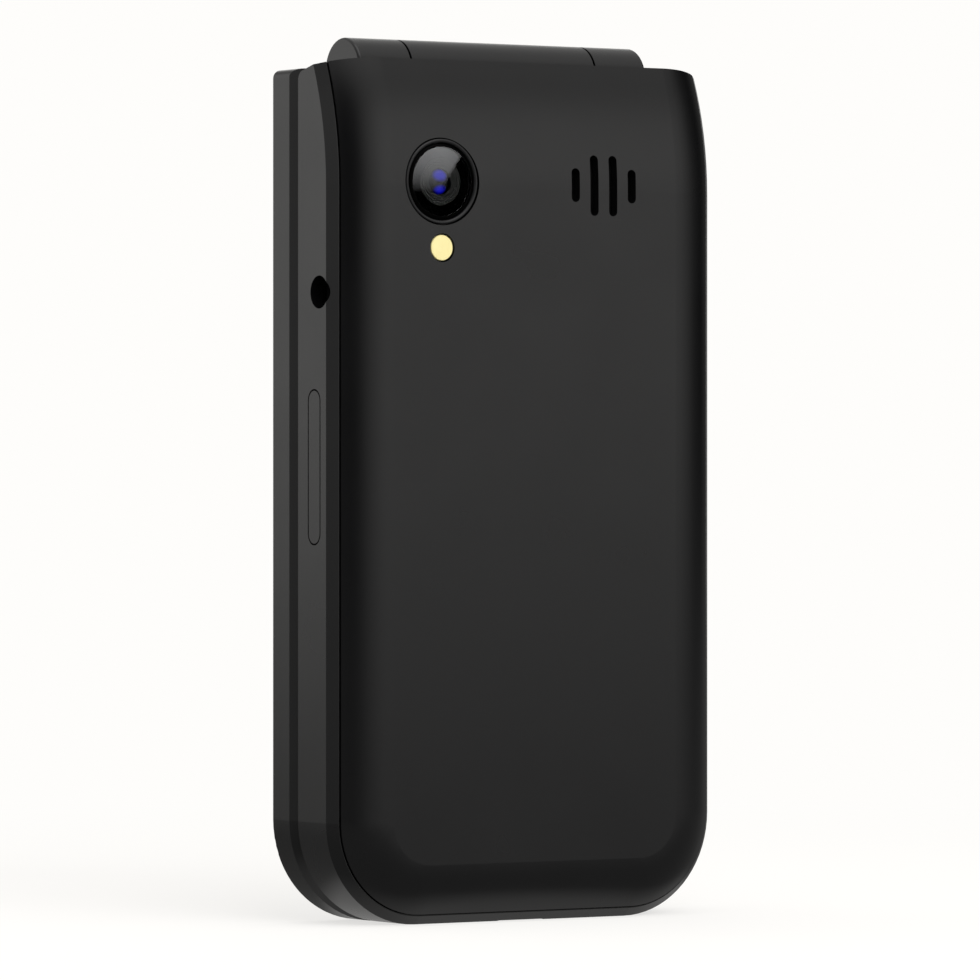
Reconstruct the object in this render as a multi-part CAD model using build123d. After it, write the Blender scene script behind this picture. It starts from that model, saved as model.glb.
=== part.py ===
"""Flip phone, stored closed and standing on its bottom end.

X runs across the phone and Z up its length from the bottom end. Y runs from front to back and is
measured from the parting plane between lid and base until each piece is written out, when the whole
phone is moved to stand centred on the origin. The lid is the front half and the base the back half.
"""
import os
from math import radians, sqrt, tan

from build123d import *

# ---- Outline that lid and base share ----
width = 56.0
corner_radius = 12.6
wall = 2.0
parting_gap = 0.3
part_gap = 0.15
plug_gap = 0.05

# ---- Base shell: depths run backwards from the parting plane ----
base_depth = 10.15
base_height = 103.4
top_slope = 13.8
top_front_round = 1.2
bevel_inset = 1.2
bevel_depth = 1.38
bevel_land = 0.1
crown_radius = 9.2
crown_width = 7.34
taper_drop = 13.8
taper_radius = 38.0
taper_sweep = 30.0
front_rim = 3.6
deck_recess = 0.6
deck_thickness = 1.0
deck_drop = 6.4
deck_top_radius = 3.0
seat_width = 1.0
seat_thickness = 0.8
cavity_drop = 5.4

# ---- Battery cover ----
cover_thickness = 1.2
cover_seam = 0.12
cover_skirt = 1.14
cover_ledge = 1.2

# ---- Hinge barrel ----
barrel_radius = 4.08
barrel_shoulder = 6.9
barrel_edge_round = 0.35
outer_knuckle_length = 7.45
knuckle_gap = 0.3
pocket_gap = 0.25
hinge_rise = 0.5
hinge_depth = -1.0
knuckle_bore = 3.0
cartridge_room = 1.5
cartridge_end_wall = 0.9
shaft_end_gap = 0.1
flex_room = 6.75
shaft_radius = 1.5
shaft_head_radius = 2.3
shaft_head_length = 6.0
running_gap = 0.05
pivot_radius = 2.5
pivot_bore = 1.7
pivot_reach = 5.45
pivot_seat = 5.8

# ---- Lid shell: depths run forwards from the parting plane ----
lid_depth = 6.2
lid_rise = 0.6
lid_top_round = 1.0
lid_front_round = 0.5
lid_wall = 1.4
lid_front_wall = 1.2
lid_bevel_inset = 1.3
lid_bevel_depth = 1.75
lid_seam_depth = 2.2
lid_inner_wall = 1.2
lid_cavity_gap = 1.4

# ---- Keypad ----
key_gap = 0.12
key_web = 1.2
key_round = 2.0
key_edge_round = 0.3
key_stand = 0.4
key_lip = 0.4
key_lip_thickness = 0.5
key_travel = 0.35
keypad_bottom = 9.9
keypad_drop = 33.5
row_web = 1.3
nav_radius = 11.0
ok_radius = 4.8
nav_round = 0.6
mat_thickness = 0.6
mat_margin = 0.3
dome_radius = 2.0
dome_height = 0.08
dome_film = 0.1

# ---- Boards, chassis and battery ----
board_thickness = 0.8
chassis_gap = 0.05
chassis_wall = 1.0
bay_roof = 1.2
battery_side_room = 8.7
electronics_length = 43.2
battery_thickness = 3.6
battery_round = 1.5
battery_bottom = 10.2
well_floor = 0.6
screw_radius = 0.8
screw_head_radius = 1.5
screw_head_thickness = 0.8
screw_socket = 0.45
screw_seat = 2.2
post_radius = 2.6
boss_radius = 1.8
low_screw_x = 12.0
low_screw_z = 6.6
high_screw_side = 7.4
high_screw_drop = 10.9

# ---- Camera, flash and loudspeaker in the back ----
camera_side = 14.3
camera_drop = 13.2
camera_hole_radius = 5.33
ring_radius = 5.16
ring_wall = 0.45
ring_shelf = 0.8
ring_recess = 0.05
window_thickness = 0.6
module_size = 7.6
module_height = 3.1
lens_barrel_radius = 2.9
lens_pupil_radius = 1.65
flash_pitch = 8.04
flash_radius = 1.6
flash_collar = 0.6
flash_collar_thickness = 0.5
flash_hole_gap = 0.15
led_size = 3.0
led_height = 1.6
speaker_side = 18.1
speaker_width = 16.0
speaker_length = 11.0
speaker_height = 3.2
speaker_round = 3.0
slot_width = 1.21
slot_pitch = 2.77
short_slot = 4.15
long_slot = 7.45
mesh_thickness = 0.15
mesh_width = 13.0
mesh_length = 9.0
mesh_seat = 1.0

# ---- Side and bottom fittings ----
jack_drop = 26.7
jack_depth = 4.84
jack_hole_radius = 2.0
jack_bore_radius = 1.8
jack_bore_length = 11.0
jack_length = 12.0
jack_width = 6.4
jack_height = 4.6
volume_drop = 47.85
volume_depth = 3.7
volume_length = 18.5
volume_width = 2.5
volume_groove = 0.2
volume_lip = 0.5
volume_lip_thickness = 0.5
volume_rock_room = 0.3
volume_nub = 0.2
volume_rib = 0.3
volume_rib_length = 2.0
switch_spacing = 11.0
switch_length = 3.6
switch_width = 2.0
switch_height = 1.2
usb_width = 8.94
usb_height = 3.2
usb_length = 7.3
usb_depth = 4.55
usb_wall = 0.3
usb_tongue_width = 6.7
usb_tongue_thickness = 0.7
usb_lip = 0.35
mic_x = -7.1
mic_depth = 5.0
mic_hole_radius = 0.5
mic_width = 3.8
mic_height = 1.1
motor_radius = 4.0
motor_height = 2.7
motor_side = 19.8
sim_side = 15.0
sim_width = 17.0
sim_length = 13.0
sim_height = 1.5
sim_card = 0.8
can_height = 1.4
can_room = 1.6
can_sim_room = 2.8
can_length = 8.8
contact_side = 16.0
contact_width = 9.0
contact_length = 2.4
contact_height = 3.0
contact_pitch = 2.6
contact_tip = 0.4

# ---- Pieces in the lid ----
window_side_room = 5.0
window_bottom = 15.0
window_drop = 17.0
window_round = 3.0
glass_thickness = 0.8
glass_recess = 0.15
display_side_room = 1.5
display_end_room = 5.0
display_thickness = 1.6
display_margin = 1.5
lid_board_thickness = 0.6
lid_board_bottom = 11.8
lid_board_drop = 8.0
outer_drop = 34.0
outer_window_width = 36.0
outer_window_length = 30.0
outer_window_thickness = 0.65
outer_window_lip = 2.0
outer_display_thickness = 1.0
earpiece_z = 8.6
earpiece_width = 11.0
earpiece_length = 5.6
earpiece_height = 2.0
earpiece_slot_width = 9.0
earpiece_slot_length = 1.2
bumper_radius = 1.1
bumper_sink = 0.5
bumper_rest_gap = 0.08
bumper_bottom = 22.0
bumper_drop = 20.0
bumper_inset = 2.6
lid_low_screw_side = 13.5
lid_low_screw_z = 6.4
lid_high_screw_side = 8.0
lid_high_screw_drop = 11.0
lid_screw_seat = 0.6
flex_width = 3.6
flex_thickness = 0.15
flex_roll_radius = 2.1
flex_roll_gap = 0.7
flex_overlap = 2.0

# ---- Sizes worked out from the values above ----
half_width = width / 2
taper_start = base_height - taper_drop
deck_top = base_height - deck_drop
cavity_top = base_height - cavity_drop
hinge_height = base_height + hinge_rise
lid_height = base_height + lid_rise
crease_depth = base_depth - crown_radius + sqrt(crown_radius**2 - (crown_width - bevel_inset) ** 2)
bevel_start = crease_depth - bevel_depth
rim_inset = bevel_inset - cover_seam / 2
cover_inset = bevel_inset + cover_seam / 2
skirt_inset = cover_inset + cover_skirt
ledge_depth = crease_depth - cover_ledge
taper_centre = bevel_start - taper_radius
inner_back = cover_thickness + part_gap
deck_seat = deck_recess + deck_thickness
seat_back = deck_seat + seat_thickness
seat_inset = front_rim + seat_width
key_face = deck_recess - key_stand
key_lip_front = deck_seat + plug_gap
key_lip_back = key_lip_front + key_lip_thickness
mat_front = key_lip_back + key_travel + plug_gap
dome_front = mat_front + mat_thickness + plug_gap
board_front = dome_front + dome_height + dome_film
board_back = board_front + board_thickness
board_inset = wall + part_gap
chassis_front = board_back + chassis_gap
chassis_inset = skirt_inset + part_gap
chassis_top = cavity_top - part_gap
roof_front = base_depth - inner_back - bay_roof
battery_width = width - 2 * battery_side_room
battery_height = base_height - electronics_length - battery_bottom
well_width = battery_width + 2 * part_gap
well_top = battery_bottom + battery_height + part_gap
well_seat = chassis_front + well_floor
contact_z = well_top + contact_length / 2
bay_bottom = well_top + contact_length + plug_gap
high_screw_x = half_width - high_screw_side
high_screw_z = base_height - high_screw_drop
camera_x = half_width - camera_side
camera_z = base_height - camera_drop
flash_x = camera_x
flash_z = camera_z - flash_pitch
speaker_x = speaker_side - half_width
speaker_z = camera_z
jack_z = base_height - jack_drop
volume_z = base_height - volume_drop
volume_back = half_width - wall - volume_rock_room - volume_lip_thickness
motor_x = half_width - motor_side
sim_x = sim_side - half_width
can_left = sim_x + sim_width / 2 + can_sim_room
can_width = camera_x - module_size / 2 - can_room - can_left
can_x = can_left + can_width / 2
contact_x = half_width - contact_side
barrel_end = half_width - barrel_shoulder
outer_knuckle_start = barrel_end - outer_knuckle_length
knuckle_end = outer_knuckle_start - knuckle_gap
cartridge_start = flex_room + pivot_reach - knuckle_end
knuckle_bore_start = cartridge_start - cartridge_room
flex_x = pivot_reach + flex_roll_gap + flex_width / 2 - knuckle_end
keypad_half = half_width - seat_inset - key_lip - part_gap
key_width = (2 * keypad_half - 2 * key_web) / 3
key_height = (base_height - keypad_drop - keypad_bottom - 2 * nav_radius) / 4 - row_web
first_row_z = keypad_bottom + key_height / 2
last_row_z = first_row_z + 3 * (key_height + row_web)
nav_z = last_row_z + key_height / 2 + row_web + nav_radius
side_key_start = nav_radius + key_web
side_key_width = keypad_half - side_key_start
side_key_x = side_key_start + side_key_width / 2
side_key_offset = (key_height + row_web) / 2
lid_face = -parting_gap
lid_plate_front = lid_face - lid_inner_wall
lid_cavity_front = -lid_depth + lid_front_wall
lid_cavity_top = hinge_height - barrel_radius - lid_cavity_gap
window_width = width - 2 * window_side_room
window_length = lid_height - window_drop - window_bottom
window_z = window_bottom + window_length / 2
display_width = window_width - 2 * display_side_room
display_length = window_length - 2 * display_end_room
display_back = lid_plate_front - plug_gap
lid_board_back = display_back - display_thickness - plug_gap
lid_board_front = lid_board_back - lid_board_thickness
lid_board_top = lid_height - lid_board_drop
outer_z = lid_height - outer_drop
middle_depth = (base_depth - lid_depth) / 2


# ---- Drawing helpers ----
def outline(inset, bottom, top, top_radius=0.0):
    """Phone outline drawn in by inset, from bottom to top, with round bottom corners."""
    shape = Pos(0, (bottom + top) / 2) * Rectangle(width - 2 * inset, top - bottom)
    shape = fillet(shape.vertices().group_by(Axis.Y)[0], corner_radius - inset)
    if top_radius > 0:
        shape = fillet(shape.vertices().group_by(Axis.Y)[-1], top_radius)
    return shape


def plate(sketch, front, back):
    """Sketch drawn in X and Z, made solid from the front depth to the back depth."""
    return extrude(Plane.XZ.offset(-back) * sketch, amount=back - front)


def bar(sketch, left, right):
    """Sketch drawn in Y and Z, made solid from left to right along X."""
    return extrude(Plane.YZ.offset(left) * sketch, amount=right - left)


def slab(x, front, back, z, x_size, z_size, corner=0.0):
    """Upright plate centred at x and z, with round corners where corner is given."""
    sketch = RectangleRounded(x_size, z_size, corner) if corner else Rectangle(x_size, z_size)
    return plate(Pos(x, z) * sketch, front, back)


def stud(x, z, radius, front, back):
    """Round stud along Y."""
    return plate(Pos(x, z) * Circle(radius), front, back)


def rod(depth, z, radius, left, right):
    """Round rod along X."""
    return bar(Pos(depth, z) * Circle(radius), left, right)


def barrel_rod(radius, left, right):
    """Rod on the hinge axis."""
    return rod(hinge_depth, hinge_height, radius, left, right)


def bend(block):
    """Carry a block that ends square at taper_start round the hinge-end taper."""
    end_face = block.faces().sort_by(Axis.Z)[-1]
    axis = Axis((0, taper_centre, taper_start), (1, 0, 0))
    return block + revolve(end_face, axis, taper_sweep)


def bent_prism(inset, front, back):
    """Outline prism that follows the hinge-end taper."""
    return bend(plate(outline(inset, inset, taper_start), front, back))


def crowned_block(offset):
    """Solid under the crowned back surface, offset inwards all over."""
    start = crown_width - crown_radius + offset
    block = plate(outline(start, start, taper_start), -lid_depth, base_depth - offset)
    back_face = block.faces().sort_by(Axis.Y)[-1]
    edges = [edge for edge in back_face.edges() if edge.center().Z < taper_start - offset / 2 - part_gap]
    return bend(fillet(edges, crown_radius - offset))


def top_plane_limit():
    """Space behind the parting plane and below the base's sloped top end."""
    far = base_depth + wall
    rise = far * tan(radians(top_slope))
    side = Polyline((0, -wall), (far, -wall), (far, base_height + rise), (0, base_height), close=True)
    profile = make_face(side)
    corner = profile.vertices().filter_by(lambda vertex: abs(vertex.X) < plug_gap and vertex.Y > wall)
    return bar(fillet(corner, top_front_round), -width, width)


def screw(x, z, head_back, length):
    """Pan head screw along Y with its head's flat side at head_back."""
    head = stud(x, z, screw_head_radius, head_back, head_back + screw_head_thickness)
    shank = stud(x, z, screw_radius, head_back - length, head_back)
    cross = slab(x, head_back + screw_head_thickness - screw_socket, head_back + screw_head_thickness, z,
                 1.6 * screw_radius, 0.5 * screw_radius)
    cross += slab(x, head_back + screw_head_thickness - screw_socket, head_back + screw_head_thickness, z,
                  0.5 * screw_radius, 1.6 * screw_radius)
    return head + shank - cross


def save(name, shape):
    """Centre a piece on the phone's depth and write its file."""
    export_step(Pos(0, -middle_depth, 0) * shape, f"parts/{name}.step")


# ---- Key shapes, drawn in X and Z ----
def key_sketches():
    """Name and sketch of every keypad key."""
    keys = {}
    names = ("key_star", "key_0", "key_hash", "key_7", "key_8", "key_9",
             "key_4", "key_5", "key_6", "key_1", "key_2", "key_3")
    for number, name in enumerate(names):
        x = (number % 3 - 1) * (key_width + key_web)
        z = first_row_z + number // 3 * (key_height + row_web)
        keys[name] = Pos(x, z) * RectangleRounded(key_width, key_height, key_round)
    for side, call, soft in ((-1, "call_key", "soft_key_left"), (1, "end_key", "soft_key_right")):
        sketch = RectangleRounded(side_key_width, key_height, key_round)
        keys[call] = Pos(side * side_key_x, nav_z - side_key_offset) * sketch
        keys[soft] = Pos(side * side_key_x, nav_z + side_key_offset) * sketch
    keys["ok_key"] = Pos(0, nav_z) * Circle(ok_radius)
    ring = Circle(nav_radius) - Circle(ok_radius + key_web)
    far = 2 * nav_radius
    wedge = Pos(0, -key_web / sqrt(2)) * make_face(Polyline((0, 0), (-far, -far), (far, -far), close=True))
    quarter = fillet((ring & wedge).vertices(), nav_round)
    for name, turn in (("nav_down", 0), ("nav_right", 90), ("nav_up", 180), ("nav_left", 270)):
        keys[name] = Pos(0, nav_z) * Rot(0, 0, turn) * quarter
    return keys


def make_key(sketch):
    """Key cap with its retaining lip behind the deck."""
    cap = plate(sketch, key_face, key_lip_front)
    cap = fillet(cap.faces().sort_by(Axis.Y)[0].edges(), key_edge_round)
    return cap + plate(offset(sketch, key_lip), key_lip_front, key_lip_back)


# ---- Base pieces ----
def make_base_housing():
    """Side walls with the bevelled rim, the hinge block and the two outer knuckles."""
    land_depth = bevel_depth * (rim_inset - bevel_land) / bevel_inset
    block = plate(outline(0, 0, taper_start), -lid_depth, bevel_start + land_depth)
    back_face = block.faces().sort_by(Axis.Y)[-1]
    edges = [edge for edge in back_face.edges() if edge.center().Z < taper_start - part_gap]
    block = chamfer(edges, rim_inset - bevel_land, land_depth, reference=back_face)
    body = bend(block) - bent_prism(rim_inset, ledge_depth, base_depth + wall)
    core = crowned_block(inner_back) & bent_prism(skirt_inset + part_gap, 0, base_depth)
    body += core & Pos(0, 0, cavity_top) * Box(2 * width, 4 * base_depth, width, align=(Align.CENTER,
                                                                                     Align.CENTER,
                                                                                     Align.MIN))
    body = body & top_plane_limit()
    body -= plate(outline(front_rim, front_rim, deck_top, deck_top_radius), -wall, deck_seat)
    body -= plate(outline(seat_inset, seat_inset, deck_top - seat_width, deck_top_radius), 0, seat_back)
    body -= plate(outline(wall, wall, cavity_top), seat_back, base_depth + wall)
    body -= barrel_rod(barrel_radius + pocket_gap, -outer_knuckle_start, outer_knuckle_start)
    for side in (-1, 1):
        near, far = sorted((side * outer_knuckle_start, side * barrel_end))
        knuckle = barrel_rod(barrel_radius, near, far)
        end_face = knuckle.faces().sort_by(Axis.X)[-1 if side > 0 else 0]
        body += fillet(end_face.edges(), barrel_edge_round)
    body -= barrel_rod(pivot_radius + plug_gap / 2, -outer_knuckle_start - pivot_seat, -outer_knuckle_start)
    body -= hinge_head(shaft_head_radius + plug_gap / 2, shaft_head_length + plug_gap)
    body -= rod(jack_depth, jack_z, jack_hole_radius, half_width - 2 * wall, half_width + wall)
    body -= volume_slot(volume_groove, half_width - 2 * wall, half_width + wall)
    lip = volume_groove + volume_lip + plug_gap
    body -= volume_slot(lip, half_width - seat_inset, half_width - wall)
    body -= usb_outline(usb_lip, -wall, 2 * wall)
    body -= Pos(mic_x, mic_depth, wall / 2) * Cylinder(mic_hole_radius, 4 * wall)
    return body


def volume_slot(grow, left, right):
    """Round-ended bar along X at the volume key, larger all round by grow."""
    sketch = SlotOverall(volume_length + 2 * grow, volume_width + 2 * grow, rotation=90)
    return bar(Pos(volume_depth, volume_z) * sketch, left, right)


def usb_outline(grow, bottom, top):
    """Round-ended bar along Z at the charging socket, larger all round by grow."""
    sketch = SlotOverall(usb_width + 2 * grow, usb_height + 2 * grow)
    return extrude(Plane.XY.offset(bottom) * Pos(0, usb_depth) * sketch, amount=top - bottom)


def hinge_head(radius, length):
    """Six-sided head of the hinge shaft inside the outer knuckle."""
    sketch = Pos(hinge_depth, hinge_height) * RegularPolygon(radius, 6)
    return bar(sketch, outer_knuckle_start, outer_knuckle_start + length)


def make_keypad_deck(keys):
    """Deck plate that the keys come through, with four screw bosses behind it."""
    edge = front_rim + plug_gap
    deck = plate(outline(edge, edge, deck_top - plug_gap, deck_top_radius), deck_recess, deck_seat)
    for x, z in base_screw_places():
        deck += stud(x, z, boss_radius, deck_seat, board_front)
        deck -= stud(x, z, screw_radius + plug_gap / 2, deck_seat - deck_thickness / 2, board_front)
    for sketch in keys.values():
        deck -= plate(offset(sketch, key_gap), 0, deck_seat)
    return deck


def base_screw_places():
    """Across and up places of the four screws that hold the base together."""
    low = [(side * low_screw_x, low_screw_z) for side in (-1, 1)]
    high = [(side * high_screw_x, high_screw_z) for side in (-1, 1)]
    return low + high


def keypad_area(margin):
    """Area behind all the keys."""
    bottom = first_row_z - key_height / 2 - margin
    top = nav_z + nav_radius + key_lip + margin
    half = keypad_half + margin
    return Pos(0, (bottom + top) / 2) * RectangleRounded(2 * half, top - bottom, key_round)


def make_dome_sheet(keys):
    """Film with one metal dome under each key."""
    sheet = plate(keypad_area(0), board_front - dome_film, board_front)
    for sketch in keys.values():
        middle = sketch.center()
        sheet += stud(middle.X, middle.Y, dome_radius, dome_front, board_front - dome_film)
    return sheet


def jack_space(grow):
    """Room that the headset socket's body takes."""
    right = half_width - skirt_inset - plug_gap
    return Pos(right - jack_length / 2, jack_depth, jack_z) * Box(jack_length + 2 * grow,
                                                                jack_height + 2 * grow,
                                                                jack_width + 2 * grow)


def make_audio_jack():
    """Headset socket body with its bore open to the side."""
    right = half_width - skirt_inset - plug_gap
    return jack_space(0) - rod(jack_depth, jack_z, jack_bore_radius, right - jack_bore_length, right)


def switch_room(grow):
    """Room for the two volume switches behind the volume key."""
    right = volume_back - 2 * volume_nub
    length = switch_spacing + switch_length + 2 * grow
    return Pos(right - switch_height / 2, volume_depth, volume_z) * Box(switch_height + 2 * grow,
                                                                        switch_width + 2 * grow, length)


def make_volume_switches():
    """Two side-pressed switches on the board's edge."""
    block = switch_room(0)
    middle = Pos(half_width, volume_depth, volume_z) * Box(width, 2 * switch_width,
                                                           switch_spacing - switch_length)
    return block - middle


def make_volume_key():
    """Rocking volume key, flush with the side, with its lip, rocking rib and two nubs inside the wall."""
    inside = volume_back + volume_lip_thickness
    key = volume_slot(0, inside, half_width)
    key += volume_slot(volume_groove + volume_lip, volume_back, inside)
    key += stud(volume_back, volume_z, volume_rib, volume_depth - volume_rib_length / 2,
                volume_depth + volume_rib_length / 2)
    for side in (-1, 1):
        key += rod(volume_depth, volume_z + side * switch_spacing / 2, switch_width / 2,
                   volume_back - volume_nub, volume_back)
    return key


def make_main_board():
    """Main circuit board, notched for the sockets and the volume switches."""
    board = plate(outline(board_inset, board_inset, chassis_top), board_front, board_back)
    board -= jack_space(part_gap) + Pos(wall, 0, 0) * jack_space(part_gap)
    board -= switch_room(plug_gap) + Pos(switch_height, 0, 0) * switch_room(plug_gap)
    board -= volume_slot(volume_groove + volume_lip + 2 * part_gap, volume_back - volume_rib - part_gap, half_width)
    board -= usb_outline(part_gap, -wall, usb_length + usb_start() + part_gap)
    for x, z in base_screw_places():
        board -= stud(x, z, screw_radius + part_gap, 0, base_depth)
    return board


def usb_start():
    """Height of the charging socket's mouth above the bottom end."""
    return wall / 4


def make_usb_receptacle():
    """Charging socket shell with its tongue."""
    top = usb_start() + usb_length
    shell = usb_outline(0, usb_start(), top) - usb_outline(-usb_wall, usb_start(), top - usb_wall)
    tongue = Pos(0, usb_depth, (usb_start() + top) / 2 + usb_wall) * Box(usb_tongue_width,
                                                                        usb_tongue_thickness,
                                                                        usb_length - 2 * usb_wall)
    return shell + tongue


def make_chassis():
    """Inner frame with the battery well, the electronics bay and the screw posts."""
    frame = plate(outline(chassis_inset, chassis_inset, chassis_top), chassis_front, base_depth)
    frame = frame & crowned_block(inner_back)
    well_middle = (battery_bottom + well_top) / 2
    well_height = well_top - battery_bottom + part_gap
    frame -= slab(0, well_seat, base_depth, well_middle, well_width, well_height, battery_round)
    bay_inset = chassis_inset + chassis_wall
    bay = plate(outline(bay_inset, bay_inset, chassis_top - chassis_wall), 0, roof_front)
    above = Pos(0, 0, bay_bottom) * Box(2 * width, 4 * base_depth, width,
                                        align=(Align.CENTER, Align.CENTER, Align.MIN))
    frame -= bay & above
    rail = half_width - chassis_inset - chassis_wall
    pocket_width = rail - well_width / 2 - chassis_wall
    for side in (-1, 1):
        x = side * (well_width / 2 + chassis_wall + pocket_width / 2)
        frame -= slab(x, well_seat, base_depth, well_middle, pocket_width,
                      battery_height - 2 * chassis_wall)
    screw_back = chassis_front + screw_seat
    for x, z in base_screw_places():
        frame += stud(x, z, post_radius, chassis_front, roof_front + plug_gap)
        frame -= stud(x, z, screw_head_radius + part_gap, screw_back, base_depth)
        frame -= stud(x, z, screw_radius + plug_gap, 0, base_depth)
    frame -= stud(camera_x, camera_z, lens_barrel_radius + part_gap, roof_front - plug_gap, base_depth)
    frame -= stud(flash_x, flash_z, flash_radius + flash_hole_gap, roof_front - plug_gap, base_depth)
    frame -= slab(speaker_x, roof_front - plug_gap, base_depth, speaker_z, mesh_width - 2 * mesh_seat,
                  mesh_length - 2 * mesh_seat, speaker_round / 2)
    frame -= slab(speaker_x, mesh_front(), base_depth, speaker_z, mesh_width + 2 * plug_gap,
                  mesh_length + 2 * plug_gap, speaker_round / 2)
    frame -= sim_room(part_gap, roof_front - plug_gap, base_depth)
    frame -= jack_space(part_gap) + Pos(wall, 0, 0) * jack_space(part_gap)
    frame -= volume_slot(2 * volume_lip + volume_groove, half_width - seat_inset - plug_gap, half_width)
    frame -= usb_outline(part_gap, -wall, usb_length + usb_start() + part_gap)
    frame -= mic_room(part_gap)
    frame -= contact_room(plug_gap)
    return frame


def mesh_front():
    """Depth of the loudspeaker mesh's front face in the chassis roof."""
    return roof_front + bay_roof / 2


def sim_room(grow, front, back):
    """Upright box around the SIM holder."""
    z = bay_bottom + sim_length / 2 + plug_gap
    return slab(sim_x, front, back, z, sim_width + 2 * grow, sim_length + 2 * grow)


def make_sim_holder():
    """SIM holder frame on the board, open to the back."""
    holder = sim_room(0, chassis_front, chassis_front + sim_height)
    return holder - sim_room(-1.0, chassis_front + sim_height - sim_card, chassis_front + sim_height)


def mic_room(grow):
    """Room for the microphone beside its hole in the bottom end."""
    z = board_inset + mic_width / 2 + plug_gap
    return Pos(mic_x, chassis_front + mic_height / 2, z) * Box(mic_width + 2 * grow, mic_height + 2 * grow,
                                                               mic_width + 2 * grow)


def contact_room(grow):
    """Room for the battery contact block above the battery well."""
    front = well_seat
    return Pos(contact_x, front + contact_height / 2, contact_z) * Box(contact_width + 2 * grow,
                                                                       contact_height + 2 * grow,
                                                                       contact_length + 2 * grow)


def make_battery_contacts():
    """Contact block with three sprung tips that reach towards the battery."""
    block = contact_room(0)
    for place in (-1, 0, 1):
        x = contact_x + place * contact_pitch
        z = contact_z - contact_length / 2 - part_gap / 4
        block += Pos(x, well_seat + contact_height / 2, z) * Box(contact_tip * 2, contact_tip * 2, part_gap / 2)
    return block


def make_battery():
    """Flat battery pack with a rounded case."""
    z = battery_bottom + battery_height / 2
    front = well_seat + plug_gap
    pack = slab(0, front, front + battery_thickness, z, battery_width, battery_height, battery_round)
    return pack


def make_board_shields():
    """Two shield cans on the back of the board."""
    first_z = bay_bottom + 2 * motor_radius + 2 * part_gap + can_length / 2
    cans = None
    for step in (0, 1):
        z = first_z + step * (can_length + 1.0)
        can = slab(can_x, chassis_front, chassis_front + can_height, z, can_width, can_length, 0.6)
        cans = can if cans is None else cans + can
    return cans


def make_battery_cover():
    """Crowned back cover with the camera, flash and loudspeaker openings."""
    cover = crowned_block(0) & bent_prism(cover_inset, ledge_depth + plug_gap, base_depth + wall)
    inner = crowned_block(cover_thickness) & bent_prism(skirt_inset, -lid_depth, base_depth + wall)
    cover = (cover - inner) & top_plane_limit()
    cover -= stud(camera_x, camera_z, camera_hole_radius, 0, base_depth + wall)
    cover -= stud(flash_x, flash_z, flash_radius + flash_hole_gap, 0, base_depth + wall)
    for place, length in ((-1.5, short_slot), (-0.5, long_slot), (0.5, long_slot), (1.5, short_slot)):
        slot = Pos(speaker_x + place * slot_pitch, speaker_z) * SlotOverall(length, slot_width, rotation=90)
        cover -= plate(slot, 0, base_depth + wall)
    cover -= rod(jack_depth, jack_z, jack_hole_radius + plug_gap, half_width - 2 * wall, half_width)
    return cover


def make_camera_ring():
    """Trim ring that carries the camera glass and stands in the cover's round hole."""
    back = base_depth - ring_recess
    front = base_depth - inner_back
    ring = stud(camera_x, camera_z, ring_radius, front, back)
    ring -= stud(camera_x, camera_z, ring_radius - ring_wall, back - window_thickness - 2 * plug_gap, back)
    return ring - stud(camera_x, camera_z, ring_radius - ring_wall - ring_shelf, front, back)


def make_camera_module():
    """Camera block with its round lens barrel and a recessed pupil."""
    block = slab(camera_x, chassis_front, chassis_front + module_height, camera_z, module_size, module_size, 0.5)
    top = base_depth - ring_recess - window_thickness - 4 * plug_gap
    barrel = stud(camera_x, camera_z, lens_barrel_radius, chassis_front + module_height, top)
    return block + barrel - stud(camera_x, camera_z, lens_pupil_radius, top - 0.6, top)


def make_flash_lens():
    """Yellow flash lens with a collar under the chassis roof."""
    lens_front = chassis_front + led_height + plug_gap
    lens = stud(flash_x, flash_z, flash_radius, lens_front, base_depth - ring_recess)
    collar_back = roof_front - plug_gap
    return lens + stud(flash_x, flash_z, flash_radius + flash_collar, collar_back - flash_collar_thickness,
                       collar_back)


# ---- Hinge pieces ----
def make_hinge_shaft():
    """Fixed shaft: six-sided head in the base's knuckle, round nose in the cartridge."""
    nose = barrel_rod(shaft_radius, cartridge_start + cartridge_end_wall + shaft_end_gap, outer_knuckle_start)
    return nose + hinge_head(shaft_head_radius, shaft_head_length)


def make_hinge_cartridge():
    """Friction cartridge pressed into the lid's knuckle."""
    can = barrel_rod(knuckle_bore - plug_gap / 2, cartridge_start, knuckle_end)
    return can - barrel_rod(shaft_radius + running_gap, cartridge_start + cartridge_end_wall, knuckle_end)


def make_hinge_pivot():
    """Hollow pivot in the other outer knuckle, on which the lid's knuckle turns."""
    left = -outer_knuckle_start - pivot_seat + plug_gap
    tube = barrel_rod(pivot_radius, left, pivot_reach - knuckle_end)
    return tube - barrel_rod(pivot_bore, left, pivot_reach - knuckle_end)


# ---- Lid pieces ----
def lid_recess():
    """Room that the base's outer knuckles need in the lid."""
    room = None
    for side in (-1, 1):
        near, far = sorted((side * knuckle_end, side * (barrel_end + pocket_gap)))
        piece = barrel_rod(barrel_radius + pocket_gap, near, far)
        room = piece if room is None else room + piece
    return room


def lid_screw_places():
    """Across and up places of the four lid screws."""
    low = [(side * (half_width - lid_low_screw_side), lid_low_screw_z) for side in (-1, 1)]
    high = [(side * (half_width - lid_high_screw_side), lid_height - lid_high_screw_drop) for side in (-1, 1)]
    return low + high


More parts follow.
